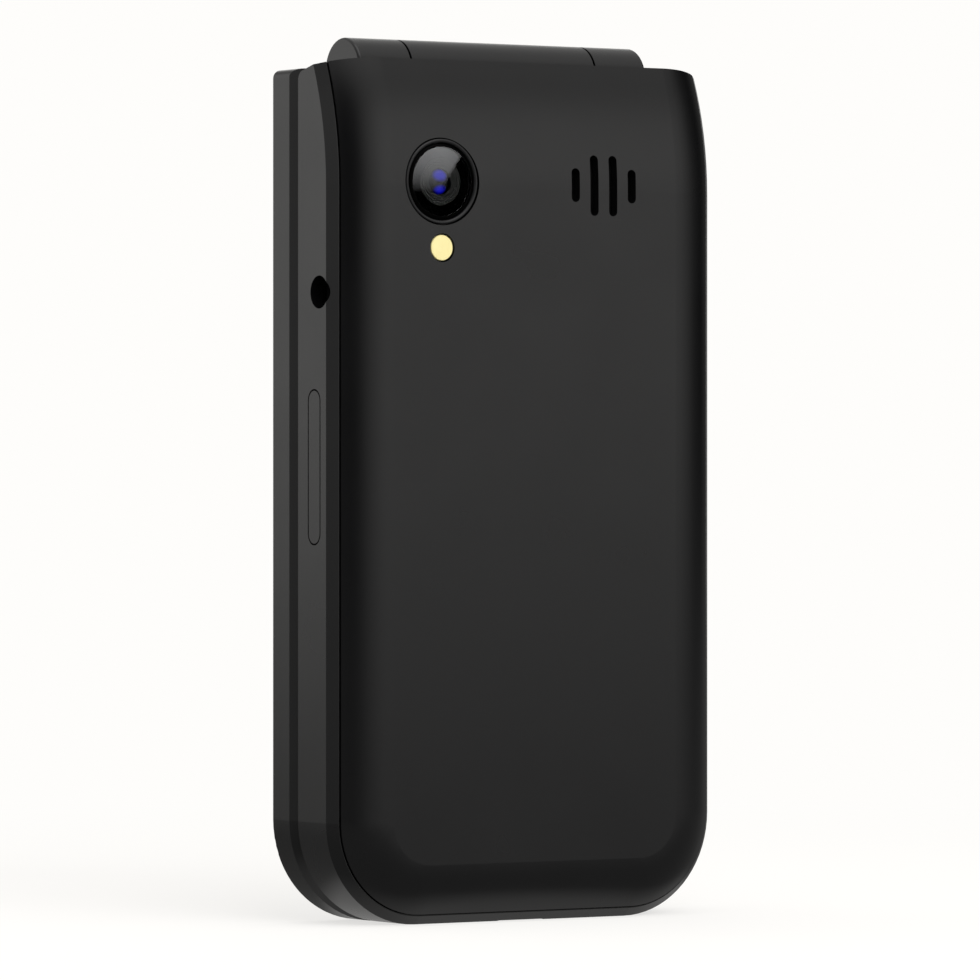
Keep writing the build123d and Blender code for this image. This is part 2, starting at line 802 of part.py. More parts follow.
def make_lid_front_housing():
    """Outer lid shell with the outer window's opening and four bosses."""
    shell = plate(outline(0, 0, lid_height, lid_top_round), -lid_depth, -lid_seam_depth)
    shell = fillet(shell.faces().sort_by(Axis.Y)[0].edges(), lid_front_round)
    shell -= plate(outline(lid_wall, lid_wall, lid_cavity_top), lid_cavity_front, 0)
    for x, z in lid_screw_places():
        shell += stud(x, z, boss_radius, lid_cavity_front, lid_plate_front - plug_gap)
        shell -= stud(x, z, screw_radius + plug_gap / 2, lid_cavity_front, 0)
    shell -= lid_recess() + barrel_rod(barrel_radius + plug_gap, -knuckle_end, knuckle_end)
    shell -= flex_strip(part_gap)
    window_back = -lid_depth + outer_window_thickness + plug_gap
    shell -= slab(0, -lid_depth - wall, window_back, outer_z, outer_window_width + 2 * plug_gap,
                  outer_window_length + 2 * plug_gap, window_round)
    shell -= slab(0, -lid_depth, 0, outer_z, outer_window_width - 2 * outer_window_lip,
                  outer_window_length - 2 * outer_window_lip, window_round / 2)
    return shell


def make_lid_rear_housing():
    """Inner lid shell with the display opening, the earpiece slot and the middle knuckle."""
    shell = plate(outline(0, 0, lid_height), -lid_seam_depth, lid_face)
    rear_face = shell.faces().sort_by(Axis.Y)[-1]
    edges = [edge for edge in rear_face.edges() if edge.center().Z < lid_height - part_gap]
    shell = chamfer(edges, lid_bevel_inset, lid_bevel_depth, reference=rear_face)
    shell = shell & plate(outline(0, 0, lid_height, lid_top_round), -lid_depth, 0)
    inner = lid_wall + lid_bevel_inset
    shell -= plate(outline(inner, inner, lid_cavity_top), -lid_depth, lid_plate_front)
    shell -= slab(0, glass_back(), 0, window_z, window_width + 2 * plug_gap, window_length + 2 * plug_gap,
                  window_round)
    shell -= slab(0, -lid_depth, 0, window_z, display_width - 2 * display_margin,
                  display_length - 2 * display_margin, window_round / 2)
    shell -= plate(Pos(0, earpiece_z) * SlotOverall(earpiece_slot_width, earpiece_slot_length), -lid_depth, 0)
    for x, z in lid_screw_places():
        shell -= stud(x, z, screw_head_radius + part_gap, lid_plate_front + lid_screw_seat, 0)
        shell -= stud(x, z, screw_radius + plug_gap, -lid_depth, 0)
    for x, z in bumper_places():
        shell -= stud(x, z, bumper_radius + plug_gap, lid_face - bumper_sink, 0)
    shell += barrel_rod(barrel_radius, -knuckle_end, knuckle_end)
    shell -= lid_recess()
    shell -= barrel_rod(knuckle_bore, knuckle_bore_start, knuckle_end)
    shell -= barrel_rod(pivot_radius + running_gap, -knuckle_end, knuckle_end)
    shell -= flex_strip(part_gap)
    return shell


def glass_back():
    """Depth of the main window's seat in the lid."""
    return lid_face - glass_recess - glass_thickness - plug_gap


def bumper_places():
    """Across and up places of the four rubber bumpers."""
    x = half_width - bumper_inset
    return [(side * x, z) for side in (-1, 1) for z in (bumper_bottom, lid_height - bumper_drop)]


def flex_strip(grow):
    """Flat ribbon from the lid board into the middle knuckle."""
    bottom = lid_board_top - flex_overlap
    top = hinge_height
    middle = (bottom + top) / 2
    depth = lid_board_back + flex_thickness / 2 + plug_gap / 2
    return Pos(flex_x, depth, middle) * Box(flex_width + 2 * grow, flex_thickness + 2 * grow, top - bottom)


def make_hinge_flex():
    """Ribbon cable with the roll of spare turns inside the middle knuckle."""
    roll = barrel_rod(flex_roll_radius, flex_x - flex_width / 2, flex_x + flex_width / 2)
    return flex_strip(0) + roll


def make_lid_board():
    """Circuit board behind the displays."""
    inset = lid_wall + lid_bevel_inset + part_gap
    board = plate(outline(inset, lid_board_bottom, lid_board_top, 1.0), lid_board_front, lid_board_back)
    for x, z in lid_screw_places():
        board -= stud(x, z, boss_radius + part_gap, -lid_depth, 0)
    return board


def make_bumpers():
    """Four rubber bumpers that rest against the base's front rim."""
    pads = None
    for x, z in bumper_places():
        pad = stud(x, z, bumper_radius, lid_face - bumper_sink, -bumper_rest_gap)
        pads = pad if pads is None else pads + pad
    return pads


def group(pieces):
    """Join separate solids into one node."""
    result = pieces[0]
    for piece in pieces[1:]:
        result += piece
    return result


def build():
    """Make every piece and write its file."""
    os.makedirs("parts", exist_ok=True)
    keys = key_sketches()
    for name, sketch in keys.items():
        save(name, make_key(sketch))
    save("base_housing", make_base_housing())
    save("keypad_deck", make_keypad_deck(keys))
    save("keypad_rubber", plate(keypad_area(mat_margin / 2), mat_front, mat_front + mat_thickness))
    save("dome_sheet", make_dome_sheet(keys))
    save("main_board", make_main_board())
    save("board_shields", make_board_shields())
    save("chassis", make_chassis())
    save("battery", make_battery())
    save("battery_contacts", make_battery_contacts())
    save("sim_holder", make_sim_holder())
    save("audio_jack", make_audio_jack())
    save("usb_receptacle", make_usb_receptacle())
    save("microphone", mic_room(0))
    motor_z = bay_bottom + motor_radius + part_gap
    save("vibration_motor", stud(motor_x, motor_z, motor_radius, chassis_front, chassis_front + motor_height))
    save("volume_key", make_volume_key())
    save("volume_switches", make_volume_switches())
    speaker_back = roof_front - plug_gap
    save("loudspeaker", slab(speaker_x, speaker_back - speaker_height, speaker_back, speaker_z, speaker_width,
                             speaker_length, speaker_round))
    save("speaker_mesh", slab(speaker_x, mesh_front() + plug_gap / 2, mesh_front() + plug_gap / 2 + mesh_thickness,
                              speaker_z, mesh_width, mesh_length, 1.4))
    save("battery_cover", make_battery_cover())
    save("camera_ring", make_camera_ring())
    glass_front = base_depth - ring_recess - window_thickness - plug_gap
    save("camera_window", stud(camera_x, camera_z, ring_radius - ring_wall - plug_gap, glass_front,
                               glass_front + window_thickness))
    save("camera_module", make_camera_module())
    save("flash_lens", make_flash_lens())
    save("flash_led", slab(flash_x, chassis_front, chassis_front + led_height, flash_z, led_size, led_size))
    screw_back = chassis_front + screw_seat
    save("base_screws", group([screw(x, z, screw_back, screw_back - board_front + deck_thickness)
                               for x, z in base_screw_places()]))
    save("hinge_shaft", make_hinge_shaft())
    save("hinge_cartridge", make_hinge_cartridge())
    save("hinge_pivot", make_hinge_pivot())
    save("hinge_flex", make_hinge_flex())
    save("lid_front_housing", make_lid_front_housing())
    save("lid_rear_housing", make_lid_rear_housing())
    window_face = lid_face - glass_recess
    save("main_window", slab(0, window_face - glass_thickness, window_face, window_z, window_width,
                             window_length, window_round))
    save("main_display", slab(0, display_back - display_thickness, display_back, window_z, display_width,
                              display_length))
    save("lid_board", make_lid_board())
    save("earpiece", slab(0, display_back - earpiece_height, display_back, earpiece_z, earpiece_width,
                          earpiece_length, 1.2))
    save("outer_window", slab(0, -lid_depth, -lid_depth + outer_window_thickness, outer_z, outer_window_width,
                              outer_window_length, window_round))
    outer_back = lid_board_front - plug_gap
    save("outer_display", slab(0, outer_back - outer_display_thickness, outer_back, outer_z,
                               outer_window_width - outer_window_lip, outer_window_length - outer_window_lip))
    save("lid_bumpers", make_bumpers())
    seat = lid_plate_front + lid_screw_seat
    lid_screw_length = seat - lid_cavity_front - 0.2
    save("lid_screws", group([screw(x, z, seat, lid_screw_length) for x, z in lid_screw_places()]))


build()
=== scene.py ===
# %% [markdown]
# A folding phone, closed and standing on its end. The moulded shells, hinge and inner parts come
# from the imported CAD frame. This scene gives each of them the finish that the real one has, and
# models the small things that a mould drawing leaves out: the camera's glass and stepped lens, the
# flash lens, the pillowed key caps with their digits, the woven cloths and the charging socket's
# contacts. Lengths on the phone are written in millimetres and turned into metres at the last
# step, and those of the room around it are in metres.

# %% Load the frame
import bmesh
import bpy
import math
import numpy as np
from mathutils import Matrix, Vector


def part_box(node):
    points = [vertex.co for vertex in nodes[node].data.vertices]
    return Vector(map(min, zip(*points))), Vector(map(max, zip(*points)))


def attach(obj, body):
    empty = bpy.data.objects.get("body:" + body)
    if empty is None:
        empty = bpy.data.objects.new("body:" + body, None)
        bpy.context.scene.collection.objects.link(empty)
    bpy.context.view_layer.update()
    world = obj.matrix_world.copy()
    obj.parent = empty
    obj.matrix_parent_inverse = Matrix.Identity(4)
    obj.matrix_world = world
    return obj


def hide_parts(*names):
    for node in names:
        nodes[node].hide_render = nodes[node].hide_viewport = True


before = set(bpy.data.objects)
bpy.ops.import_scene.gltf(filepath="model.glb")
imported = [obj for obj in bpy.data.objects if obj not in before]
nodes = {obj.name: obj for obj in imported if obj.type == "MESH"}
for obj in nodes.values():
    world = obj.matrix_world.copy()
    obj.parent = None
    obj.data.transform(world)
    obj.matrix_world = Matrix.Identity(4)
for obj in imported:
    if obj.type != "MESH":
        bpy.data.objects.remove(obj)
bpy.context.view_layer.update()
MM = 0.001

# %% [markdown]
# A piece is easiest to think of in the phone's own directions: x across it, depth from the parting
# plane between lid and base towards the back, and z up its length. The CAD frame has the whole
# phone centred, so that plane is off zero, and the shells' middle may be. Both offsets are read
# from CAD nodes, so the pieces follow the frame if it changes: the middle from the lid's front
# shell, and the plane from the cover's crown, which lies 10.15 mm behind it.

# %% Places
CROWN_DEPTH = 10.15


def middle(name):
    """Middle of a CAD node's box and half its size, in millimetres in the frame."""
    low, high = (np.array(v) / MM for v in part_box(name))
    return (low + high) / 2, (high - low) / 2


X0 = middle("lid_front_housing")[0][0]
Y0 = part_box("battery_cover")[1][1] / MM - CROWN_DEPTH


def centre_of(name):
    """Middle of a CAD node as (x, z) in the phone's own directions."""
    at = middle(name)[0]
    return at[0] - X0, at[2]


def place(x, depth, z):
    """Points in metres in the frame, from arrays of x, depth and z in millimetres."""
    x, depth, z = np.broadcast_arrays(x, depth, z)
    return np.stack([x + X0, depth + Y0, z], axis=-1).astype(float) * MM


print("shells' middle", round(X0, 3), "parting plane", round(Y0, 3))

# %% [markdown]
# Every new piece is a grid of points worked out with numpy and turned into a mesh here. A grid that
# runs round joins its last points to its first, so no seam stays open, and a row that shrinks to one
# point is welded into a pole. Then the faces of the closed skin are all turned outwards.

# %% From a grid of points to a piece
def grid_faces(rows, columns, round_rows=False, round_columns=True):
    """Quads of a rows x columns grid of points, closed round either way where asked."""
    r = np.arange(rows if round_rows else rows - 1)[:, None]
    c = np.arange(columns if round_columns else columns - 1)[None, :]
    r2, c2 = (r + 1) % rows, (c + 1) % columns
    quads = [r * columns + c, r * columns + c2, r2 * columns + c2, r2 * columns + c]
    return np.stack(quads, -1).reshape(-1, 4)


def new_object(name, data):
    """An object that shows this data in the scene."""
    item = bpy.data.objects.new(name, data)
    bpy.context.scene.collection.objects.link(item)
    return item


def piece(name, body, points, faces, material, slot, smooth=35.0, stands_for=()):
    """A welded, outward-facing mesh that rides on a body and, where asked, stands for CAD nodes.
    Edges that turn by more than smooth degrees stay sharp."""
    mesh = bpy.data.meshes.new(name)
    mesh.from_pydata(points.reshape(-1, 3).tolist(), [], faces.tolist())
    skin = bmesh.new()
    skin.from_mesh(mesh)
    bmesh.ops.remove_doubles(skin, verts=skin.verts, dist=1e-7)
    bmesh.ops.dissolve_degenerate(skin, edges=skin.edges, dist=1e-8)
    bmesh.ops.recalc_face_normals(skin, faces=skin.faces)
    skin.to_mesh(mesh)
    skin.free()
    mesh.shade_smooth()
    mesh.set_sharp_from_angle(angle=math.radians(smooth))
    mesh.materials.append(material)
    item = new_object(name, mesh)
    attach(item, body)
    if stands_for:
        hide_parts(*stands_for)


print("faces of a 3 x 4 ring grid", len(grid_faces(3, 4)))

# %% [markdown]
# The camera's pieces and the flash are round, as if turned on a lathe. Such a piece needs only its
# profile, which is half of its section, and the axis that the profile is carried round. Blender's
# Spin would do the same, but a formula on whole arrays gives the points at once.

# %% Turned pieces
def turned(name, body, centre, profile, material, slot, steps=96, **more):
    """A turned piece round an axis along the depth: each profile point (radius, depth) is carried
    round the centre (x, z), so a point at angle a lies at centre + radius * (cos a, sin a)."""
    radius, depth = np.array(profile, float).T[:, :, None]
    angle = np.linspace(0, 2 * math.pi, steps, endpoint=False)[None, :]
    points = place(centre[0] + radius * np.cos(angle), depth, centre[1] + radius * np.sin(angle))
    closed = profile[0] == profile[-1]
    if closed:
        points = points[:-1]
    faces = grid_faces(len(points), steps, round_rows=closed)
    piece(name, body, points, faces, material, slot, **more)


print("a closed profile of 13 points gives", len(grid_faces(12, 96, round_rows=True)), "faces")

# %% [markdown]
# Colours are given as sRGB hex values, but a renderer adds up light, so it needs linear ones. One small
# function turns the one into the other, and every colour goes through it. A second one adds a node to a
# material with its settings and links, which keeps each material short.

# %% Colour and node helpers
def linear(code):
    """RGBA in linear light from a hex code: channel c becomes ((c + 0.055) / 1.055) to the 2.4,
    or c / 12.92 where it is nearly black."""
    srgb = np.array([int(code[i:i + 2], 16) for i in (1, 3, 5)]) / 255
    rgb = np.where(srgb <= 0.04045, srgb / 12.92, ((srgb + 0.055) / 1.055) ** 2.4)
    return (*rgb.tolist(), 1.0)


def add(tree, kind, settings=None, **inputs):
    """A node of this kind: settings are its properties, inputs its sockets' values or their sources.
    An input's name is the socket's name with _ for a space, or i and its number."""
    node = tree.nodes.new(kind)
    for name, value in (settings or {}).items():
        setattr(node, name, value)
    for name, value in inputs.items():
        socket = node.inputs[int(name[1:]) if name[1:].isdigit() else name.replace("_", " ")]
        if isinstance(value, bpy.types.NodeSocket):
            tree.links.new(value, socket)
        else:
            socket.default_value = value
    return node


def empty_material(name):
    """A new material with nothing in its node tree, and that tree."""
    material = bpy.data.materials.new(name)
    material.use_nodes = True
    material.node_tree.nodes.clear()
    return material, material.node_tree


ROOM_WHITE = linear("#fefdfb")
print("room white", [round(v, 4) for v in ROOM_WHITE])

# %% [markdown]
# Every material starts the same way: a Principled shader and the piece's own coordinates, which are
# in metres and stay fixed to it, so a pattern whose scale is 1 / 0.0003 repeats about every 0.3 mm
# wherever the piece moves. Then come three things that even a plain black part shows close up: two
# close shades that drift into each other as the colour mixes in the melt or the dye, a fine relief
# from the tool that formed it, and a slow change in gloss from handling.

# %% A finish to start from
def finish(name, colour, other, roughness, drift, gloss, grain=0.0, relief=0.0, drawn=1.0, **shader):
    """A material whose colour drifts between two shades over drift mm, and whose roughness changes
    as slowly by gloss up and down. Its lumps are grain mm wide, drawn times as long up the phone,
    and relief mm deep. Without a relief it is smooth."""
    material, tree = empty_material(name)
    output = add(tree, "ShaderNodeOutputMaterial")
    bsdf = add(tree, "ShaderNodeBsdfPrincipled", None, **shader)
    tree.links.new(bsdf.outputs["BSDF"], output.inputs["Surface"])
    where = add(tree, "ShaderNodeTexCoord").outputs["Object"]
    slow = add(tree, "ShaderNodeTexNoise", None, Vector=where, Scale=1 / (drift * MM), Detail=3.0)
    shade = add(tree, "ShaderNodeMix", {"data_type": "RGBA"}, Factor=slow.outputs["Fac"],
                i6=linear(colour), i7=linear(other))
    tree.links.new(shade.outputs[2], bsdf.inputs["Base Color"])
    worn = add(tree, "ShaderNodeMapRange", None, Value=slow.outputs["Fac"], i1=0.3, i2=0.7,
               i3=max(roughness - gloss, 0.0), i4=roughness + gloss)
    tree.links.new(worn.outputs["Result"], bsdf.inputs["Roughness"])
    if relief:
        along = where
        if drawn > 1.0:
            stretch = add(tree, "ShaderNodeMapping", None, Vector=where, Scale=(1.0, 1.0, 1 / drawn))
            along = stretch.outputs["Vector"]
        fine = add(tree, "ShaderNodeTexNoise", None, Vector=along, Scale=1 / (grain * MM), Detail=2.0)
        bump = add(tree, "ShaderNodeBump", None, Height=fine.outputs["Fac"], Distance=relief * MM,
                   Strength=1.0)
        tree.links.new(bump.outputs["Normal"], bsdf.inputs["Normal"])
    return material


def inside(material):
    """A finish's node tree, its shader and its coordinates, to add a pattern to them."""
    tree = material.node_tree
    where = tree.nodes["Texture Coordinate"].outputs["Object"]
    return tree, tree.nodes["Principled BSDF"], where


def dress(material, *names):
    """Give these CAD nodes this material."""
    for name in names:
        data = nodes[name].data
        data.materials.clear()
        data.materials.append(material)


print("a pattern 0.3 mm wide has scale", round(1 / (0.3 * MM)))

# %% [markdown]
# The shells are injection-moulded ABS and polycarbonate, coloured black in the mass. The mould is
# spark-eroded to a fine satin grain, which breaks up the light into broad soft reflections. Real
# grain of this grade is near 0.03 mm, too fine to show with the whole phone in view, so it is drawn
# at 0.12 mm and very shallow.

# %% Shell plastic
satin_abs = finish("Satin_moulded_ABS_black", "#080809", "#0a0a0b", roughness=0.26, drift=14.0,
                   gloss=0.02, grain=0.12, relief=0.0008, IOR=1.55)
dress(satin_abs, "base_housing", "battery_cover", "lid_front_housing", "lid_rear_housing", "volume_key")
print(satin_abs.name)

# %% [markdown]
# Inside, the plastics differ by their work. The keypad deck is the same resin from a smoother mould.
# The chassis, the SIM holder, the headset socket and the microphone are nylon filled with glass
# fibre, which gives them a rougher, duller skin. The loudspeaker's and earpiece's baskets and the
# camera's housing are PBT, plain and fine-grained.

# %% Inner plastics
deck_abs = finish("Smooth_moulded_ABS_black", "#121214", "#161618", roughness=0.24, drift=10.0,
                  gloss=0.04, grain=0.2, relief=0.0008, IOR=1.5)
dress(deck_abs, "keypad_deck")
nylon = finish("Glass_filled_nylon_black", "#151516", "#1d1d1f", roughness=0.5, drift=3.0,
               gloss=0.08, grain=0.25, relief=0.006, IOR=1.53)
dress(nylon, "chassis", "sim_holder", "audio_jack", "microphone")
pbt = finish("Moulded_PBT_black", "#141415", "#19191a", roughness=0.42, drift=5.0,
             gloss=0.05, grain=0.18, relief=0.003, IOR=1.55)
dress(pbt, "loudspeaker", "earpiece", "camera_module")
print(deck_abs.name, nylon.name, pbt.name)

# %% [markdown]
# Key caps are polycarbonate sprayed with a soft-touch lacquer: matt, a little lighter than the
# deck, with a faint orange peel from the spray. The keypad mat under them and the bumpers on the
# lid are silicone rubber, which is matt and dark.

# %% Soft-touch lacquer and rubber
soft_lacquer = finish("Soft_touch_lacquer_charcoal", "#1b1c1e", "#202124", roughness=0.5, drift=6.0,
                      gloss=0.05, grain=0.35, relief=0.004, IOR=1.48)
rubber = finish("Silicone_rubber_dark", "#18181a", "#222224", roughness=0.7, drift=4.0,
                gloss=0.08, grain=0.3, relief=0.006, IOR=1.43)
dress(rubber, "keypad_rubber", "lid_bumpers")
print(soft_lacquer.name, rubber.name)

# %% [markdown]
# Metals keep their colour in their reflections, so they are fully metallic and their roughness does
# the rest. Cans and the charging socket's shell are stamped from rolled sheet, whose rolling lines
# run one way: noise stretched along the length draws them. Shafts, domes and switches are spring
# steel, screws are blackened steel, and contacts are plated with gold.

# %% Metals
def metal(name, colour, other, roughness, line):
    """Drawn or rolled metal, with lines that are line mm wide and 12 times as long."""
    return finish(name, colour, other, roughness, drift=6.0, gloss=0.06, grain=line, relief=0.002,
                  drawn=12, Metallic=1.0)


nickel = metal("Stamped_nickel_silver", "#b9b6ae", "#c9c6bf", roughness=0.3, line=0.1)
dress(nickel, "board_shields", "usb_receptacle", "vibration_motor")
steel = metal("Turned_spring_steel", "#a8a8ab", "#bdbdc0", roughness=0.25, line=0.08)
dress(steel, "hinge_shaft", "hinge_pivot", "hinge_cartridge", "dome_sheet", "volume_switches")
black_steel = metal("Blackened_steel_screw", "#3a3a3d", "#48484b", roughness=0.35, line=0.08)
dress(black_steel, "base_screws", "lid_screws")
gold = metal("Gold_plated_bronze", "#d8b36a", "#e3c27e", roughness=0.22, line=0.08)
dress(gold, "battery_contacts")
print(nickel.name, steel.name, black_steel.name, gold.name)

# %% [markdown]
# Circuit boards are glass-fibre laminate under green solder mask. The mask lies a hair higher over
# the copper tracks, so a brick pattern of 1 mm by 0.5 mm, with sunken joints, stands for them. The
# ribbon cable is amber polyimide over copper lines that run its length. Both patterns are printed,
# so a relief of 0.02 mm made from the pattern itself does for either.

# %% Laminate and ribbon
PRINTED_RELIEF = 0.02


def emboss(material, kind, height, settings=None, **inputs):
    """Raise a finish by PRINTED_RELIEF mm where this kind of pattern is high. The output named height
    says how high it is, from 0 to 1."""
    tree, bsdf, where = inside(material)
    pattern = add(tree, kind, settings, Vector=where, **inputs)
    bump = add(tree, "ShaderNodeBump", None, Height=pattern.outputs[height],
               Distance=PRINTED_RELIEF * MM)
    tree.links.new(bump.outputs["Normal"], bsdf.inputs["Normal"])


laminate = finish("Solder_mask_over_laminate", "#123d26", "#175030", roughness=0.3, drift=2.0,
                  gloss=0.06, IOR=1.55)
emboss(laminate, "ShaderNodeTexBrick", "Color", Scale=1 / (2.0 * MM), Color1=(1, 1, 1, 1),
       Color2=(0.7, 0.7, 0.7, 1), Mortar=(0, 0, 0, 1), Mortar_Size=0.04)
dress(laminate, "main_board", "lid_board")

ribbon = finish("Polyimide_ribbon_amber", "#8a5216", "#a06420", roughness=0.3, drift=5.0,
                gloss=0.05, IOR=1.7)
emboss(ribbon, "ShaderNodeTexWave", "Fac", {"bands_direction": "X"}, Scale=1 / (3.0 * MM))
dress(ribbon, "hinge_flex")
print(laminate.name, ribbon.name)

# %% [markdown]
# The battery is wrapped in dark printed film, left bare here, which lies in shallow waves over the
# cell. The flash chip sits in white ceramic, pressed and fired. Neither needs more than the finish
# that every piece starts from.

# %% Battery film and ceramic
wrap = finish("Battery_film_dark_grey", "#2c2d30", "#313236", roughness=0.35, drift=18.0,
              gloss=0.06, grain=0.9, relief=0.01, IOR=1.5)
dress(wrap, "battery")
ceramic = finish("Pressed_ceramic_white", "#d9d6c6", "#e2dfd0", roughness=0.4, drift=2.0,
                 gloss=0.05, grain=0.1, relief=0.003, IOR=1.6)
dress(ceramic, "flash_led")
print(wrap.name, ceramic.name)

# %% [markdown]
# The windows are clear hardened glass, thin enough to look colourless, with a black border printed
# on their inner side that hides the seat and the display's edge. The ink has no air between it and
# the glass, so it mirrors next to nothing: its IOR is close to 1.
# The displays are off, so all that shows is their polariser film: almost black, a little blue.

# %% Glass, ink and displays
clear_glass = finish("Hardened_glass_clear", "#f4f7f6", "#f6f8f8", roughness=0.0, drift=12.0,
                     gloss=0.0, Transmission_Weight=1.0, IOR=1.5)
camera_cover = finish("Camera_cover_glass", "#f2f4f8", "#f5f7fa", roughness=0.0, drift=8.0,
                      gloss=0.0, Transmission_Weight=1.0, IOR=1.45)
ink = finish("Screen_printed_ink_black", "#010101", "#030303", roughness=0.6, drift=5.0,
             gloss=0.05, IOR=1.03)
polariser = finish("Polariser_film_dark", "#0a0c11", "#0c0e14", roughness=0.12, drift=20.0,
                   gloss=0.03, grain=0.6, relief=0.0004, IOR=1.5)
dress(polariser, "main_display", "outer_display")
print(clear_glass.name, camera_cover.name, ink.name, polariser.name)

# %% [markdown]
# A window could be the plain CAD plate with glass on it, but that has no ground edge and nowhere to
# print. So each is made again as two pieces: a plate with round corners and a narrow bevel at its
# open side, and a flat frame of ink just behind it. Both start from outlines whose points are evenly
# spaced, because two outlines with as many points each can be joined point to point.

# %% Outlines
def evenly(loop, count):
    """The same closed line as count points at equal distances along it."""
    closed = np.vstack([loop, loop[:1]])
    along = np.concatenate([[0], np.cumsum(np.hypot(*np.diff(closed, axis=0).T))])
    at = np.linspace(0, along[-1], count, endpoint=False)
    return np.stack([np.interp(at, along, closed[:, 0]), np.interp(at, along, closed[:, 1])], -1)


def round_rectangle(width, length, radius, count=160):
    """Outline of a rectangle with round corners, anticlockwise, as count points spaced evenly along
    it: each quarter turn of radius r round a corner's centre, joined by the straight sides."""
    turn = np.linspace(0, math.pi / 2, 24)
    quarter = np.arange(4)[:, None]
    angle = turn[None, :] + quarter * math.pi / 2
    sign_x, sign_z = np.array([1, -1, -1, 1])[:, None], np.array([1, 1, -1, -1])[:, None]
    x = sign_x * (width / 2 - radius) + radius * np.cos(angle)
    z = sign_z * (length / 2 - radius) + radius * np.sin(angle)
    return evenly(np.stack([x.ravel(), z.ravel()], -1), count)


print("points in an outline", len(round_rectangle(4, 4, 1)))

# %% [markdown]
# The print leaves a clear opening in its middle, smaller than the display behind it, so that the
# display's edge stays hidden. It keeps a hair's breadth from the glass, because two faces in one place
# can't both be drawn.

# %% Windows
WINDOW_RADIUS, WINDOW_BEVEL = 3.0, 0.12
PRINT_INSET, PRINT_GAP, PRINT_DEPTH, OPENING_RADIUS = 0.1, 0.005, 0.02, 1.2


def window(node, size, opening, back, front):
    """One window, size and opening as (width, length). Its glass runs from back to front depth: the
    rings are its outline, drawn in by the bevel at the open side, and both faces shrink to their
    middle. Its print is a tube whose four edges are an outer and an inner outline at two depths."""
    centre_z = centre_of(node)[1]
    outwards = math.copysign(1.0, front - back)
    outline = round_rectangle(*size, WINDOW_RADIUS)
    rings = [(0.0, back), (1.0, back), (1.0, front - outwards * WINDOW_BEVEL),
             (1.0 - 2 * WINDOW_BEVEL / size[0], front), (0.0, front)]
    points = np.stack([place(outline[:, 0] * k, depth, outline[:, 1] * k + centre_z)
                       for k, depth in rings])
    piece(node + "_glass", "lid", points, grid_faces(len(points), len(outline)), clear_glass,
          "window_glass", smooth=15.0, stands_for=[node])

    outer = round_rectangle(size[0] - 2 * PRINT_INSET, size[1] - 2 * PRINT_INSET,
                            WINDOW_RADIUS - PRINT_INSET)
    inner = round_rectangle(*opening, OPENING_RADIUS)
    near, far = back - outwards * PRINT_GAP, back - outwards * (PRINT_GAP + PRINT_DEPTH)
    points = np.stack([place(loop[:, 0], depth, loop[:, 1] + centre_z) for loop, depth in
                       ((outer, far), (outer, near), (inner, near), (inner, far))])
    piece(node + "_print", "lid", points, grid_faces(4, len(outer), round_rows=True), ink,
          "window_glass", stands_for=[node])


window("main_window", size=(46, 72), opening=(40, 60), back=-1.225, front=-0.45)
window("outer_window", size=(36, 30), opening=(31, 25), back=-5.575, front=-6.2)
print("windows at", round(centre_of("main_window")[1], 2), round(centre_of("outer_window")[1], 2))

# %% [markdown]
# The camera is a stack: a trim ring in the cover's hole, a glass disc let into it with a bevel
# lacquered black round its edge, the black ink behind the glass with a round clearing, and behind
# that the lens barrel with its turned steps and the front lens. All are turned pieces, so each is
# one profile carried round. The bevel's ring overlaps the glass by 0.06 mm, as the lacquer does that
# runs a little way under the glass's edge.

# %% Camera ring and glass
eye = centre_of("camera_window")
ring_plastic = finish("Satin_trim_ring_black", "#151516", "#19191a", roughness=0.28, drift=6.0,
                      gloss=0.03, grain=0.12, relief=0.001, IOR=1.5)
turned("camera_trim", "base", eye,
       [(3.91, 8.80), (5.16, 8.80), (5.16, 9.96), (5.13, 10.04), (5.06, 10.09), (4.98, 10.10),
        (4.90, 10.09), (4.80, 10.03), (4.73, 9.94), (4.71, 9.85), (4.71, 9.40), (3.91, 9.40),
        (3.91, 8.80)],
       ring_plastic, "trim_ring", stands_for=["camera_ring"])
turned("camera_glass", "base", eye,
       [(0, 9.45), (4.22, 9.45), (4.24, 9.47), (4.24, 10.03), (4.22, 10.05), (0, 10.05)],
       camera_cover, "window_glass", smooth=15.0, stands_for=["camera_window"])
lacquer = finish("Black_lacquered_bevel", "#010101", "#020202", roughness=0.3, drift=5.0,
                 gloss=0.04, IOR=1.12)
turned("camera_bevel", "base", eye,
       [(4.18, 9.46), (4.64, 9.46), (4.67, 9.49), (4.67, 9.80), (4.64, 9.84), (4.25, 10.04),
        (4.18, 10.04), (4.18, 9.46)],
       lacquer, "window_glass", stands_for=["camera_window"])
turned("camera_ink", "base", eye,
       [(2.90, 9.415), (4.62, 9.415), (4.62, 9.435), (2.90, 9.435), (2.90, 9.415)],
       ink, "window_glass")
print("camera at", [round(v, 2) for v in eye])

# %% [markdown]
# The barrel's front is black-anodised aluminium. Fine turned rings, 0.28 mm apart and each with a
# small step at either side, keep stray light out of the lens.

# %% Lens barrel
FIRST_RING, RING_PITCH, RINGS = 1.70, 0.28, 4

anodised = finish("Black_anodised_barrel", "#252522", "#2a2a27", roughness=0.45, drift=4.0,
                  gloss=0.04, IOR=1.25)
barrel = [(1.62, 9.30), (1.62, 9.34)]
for start in FIRST_RING + RING_PITCH * np.arange(RINGS):
    barrel += [(start, 9.345), (start + 0.02, 9.375), (start + 0.24, 9.385), (start + 0.26, 9.355)]
barrel += [(2.87, 9.36), (2.87, 9.30), (1.62, 9.30)]
turned("lens_barrel", "base", eye, barrel, anodised, "lens_black", smooth=25.0)
print("barrel rings", RINGS)
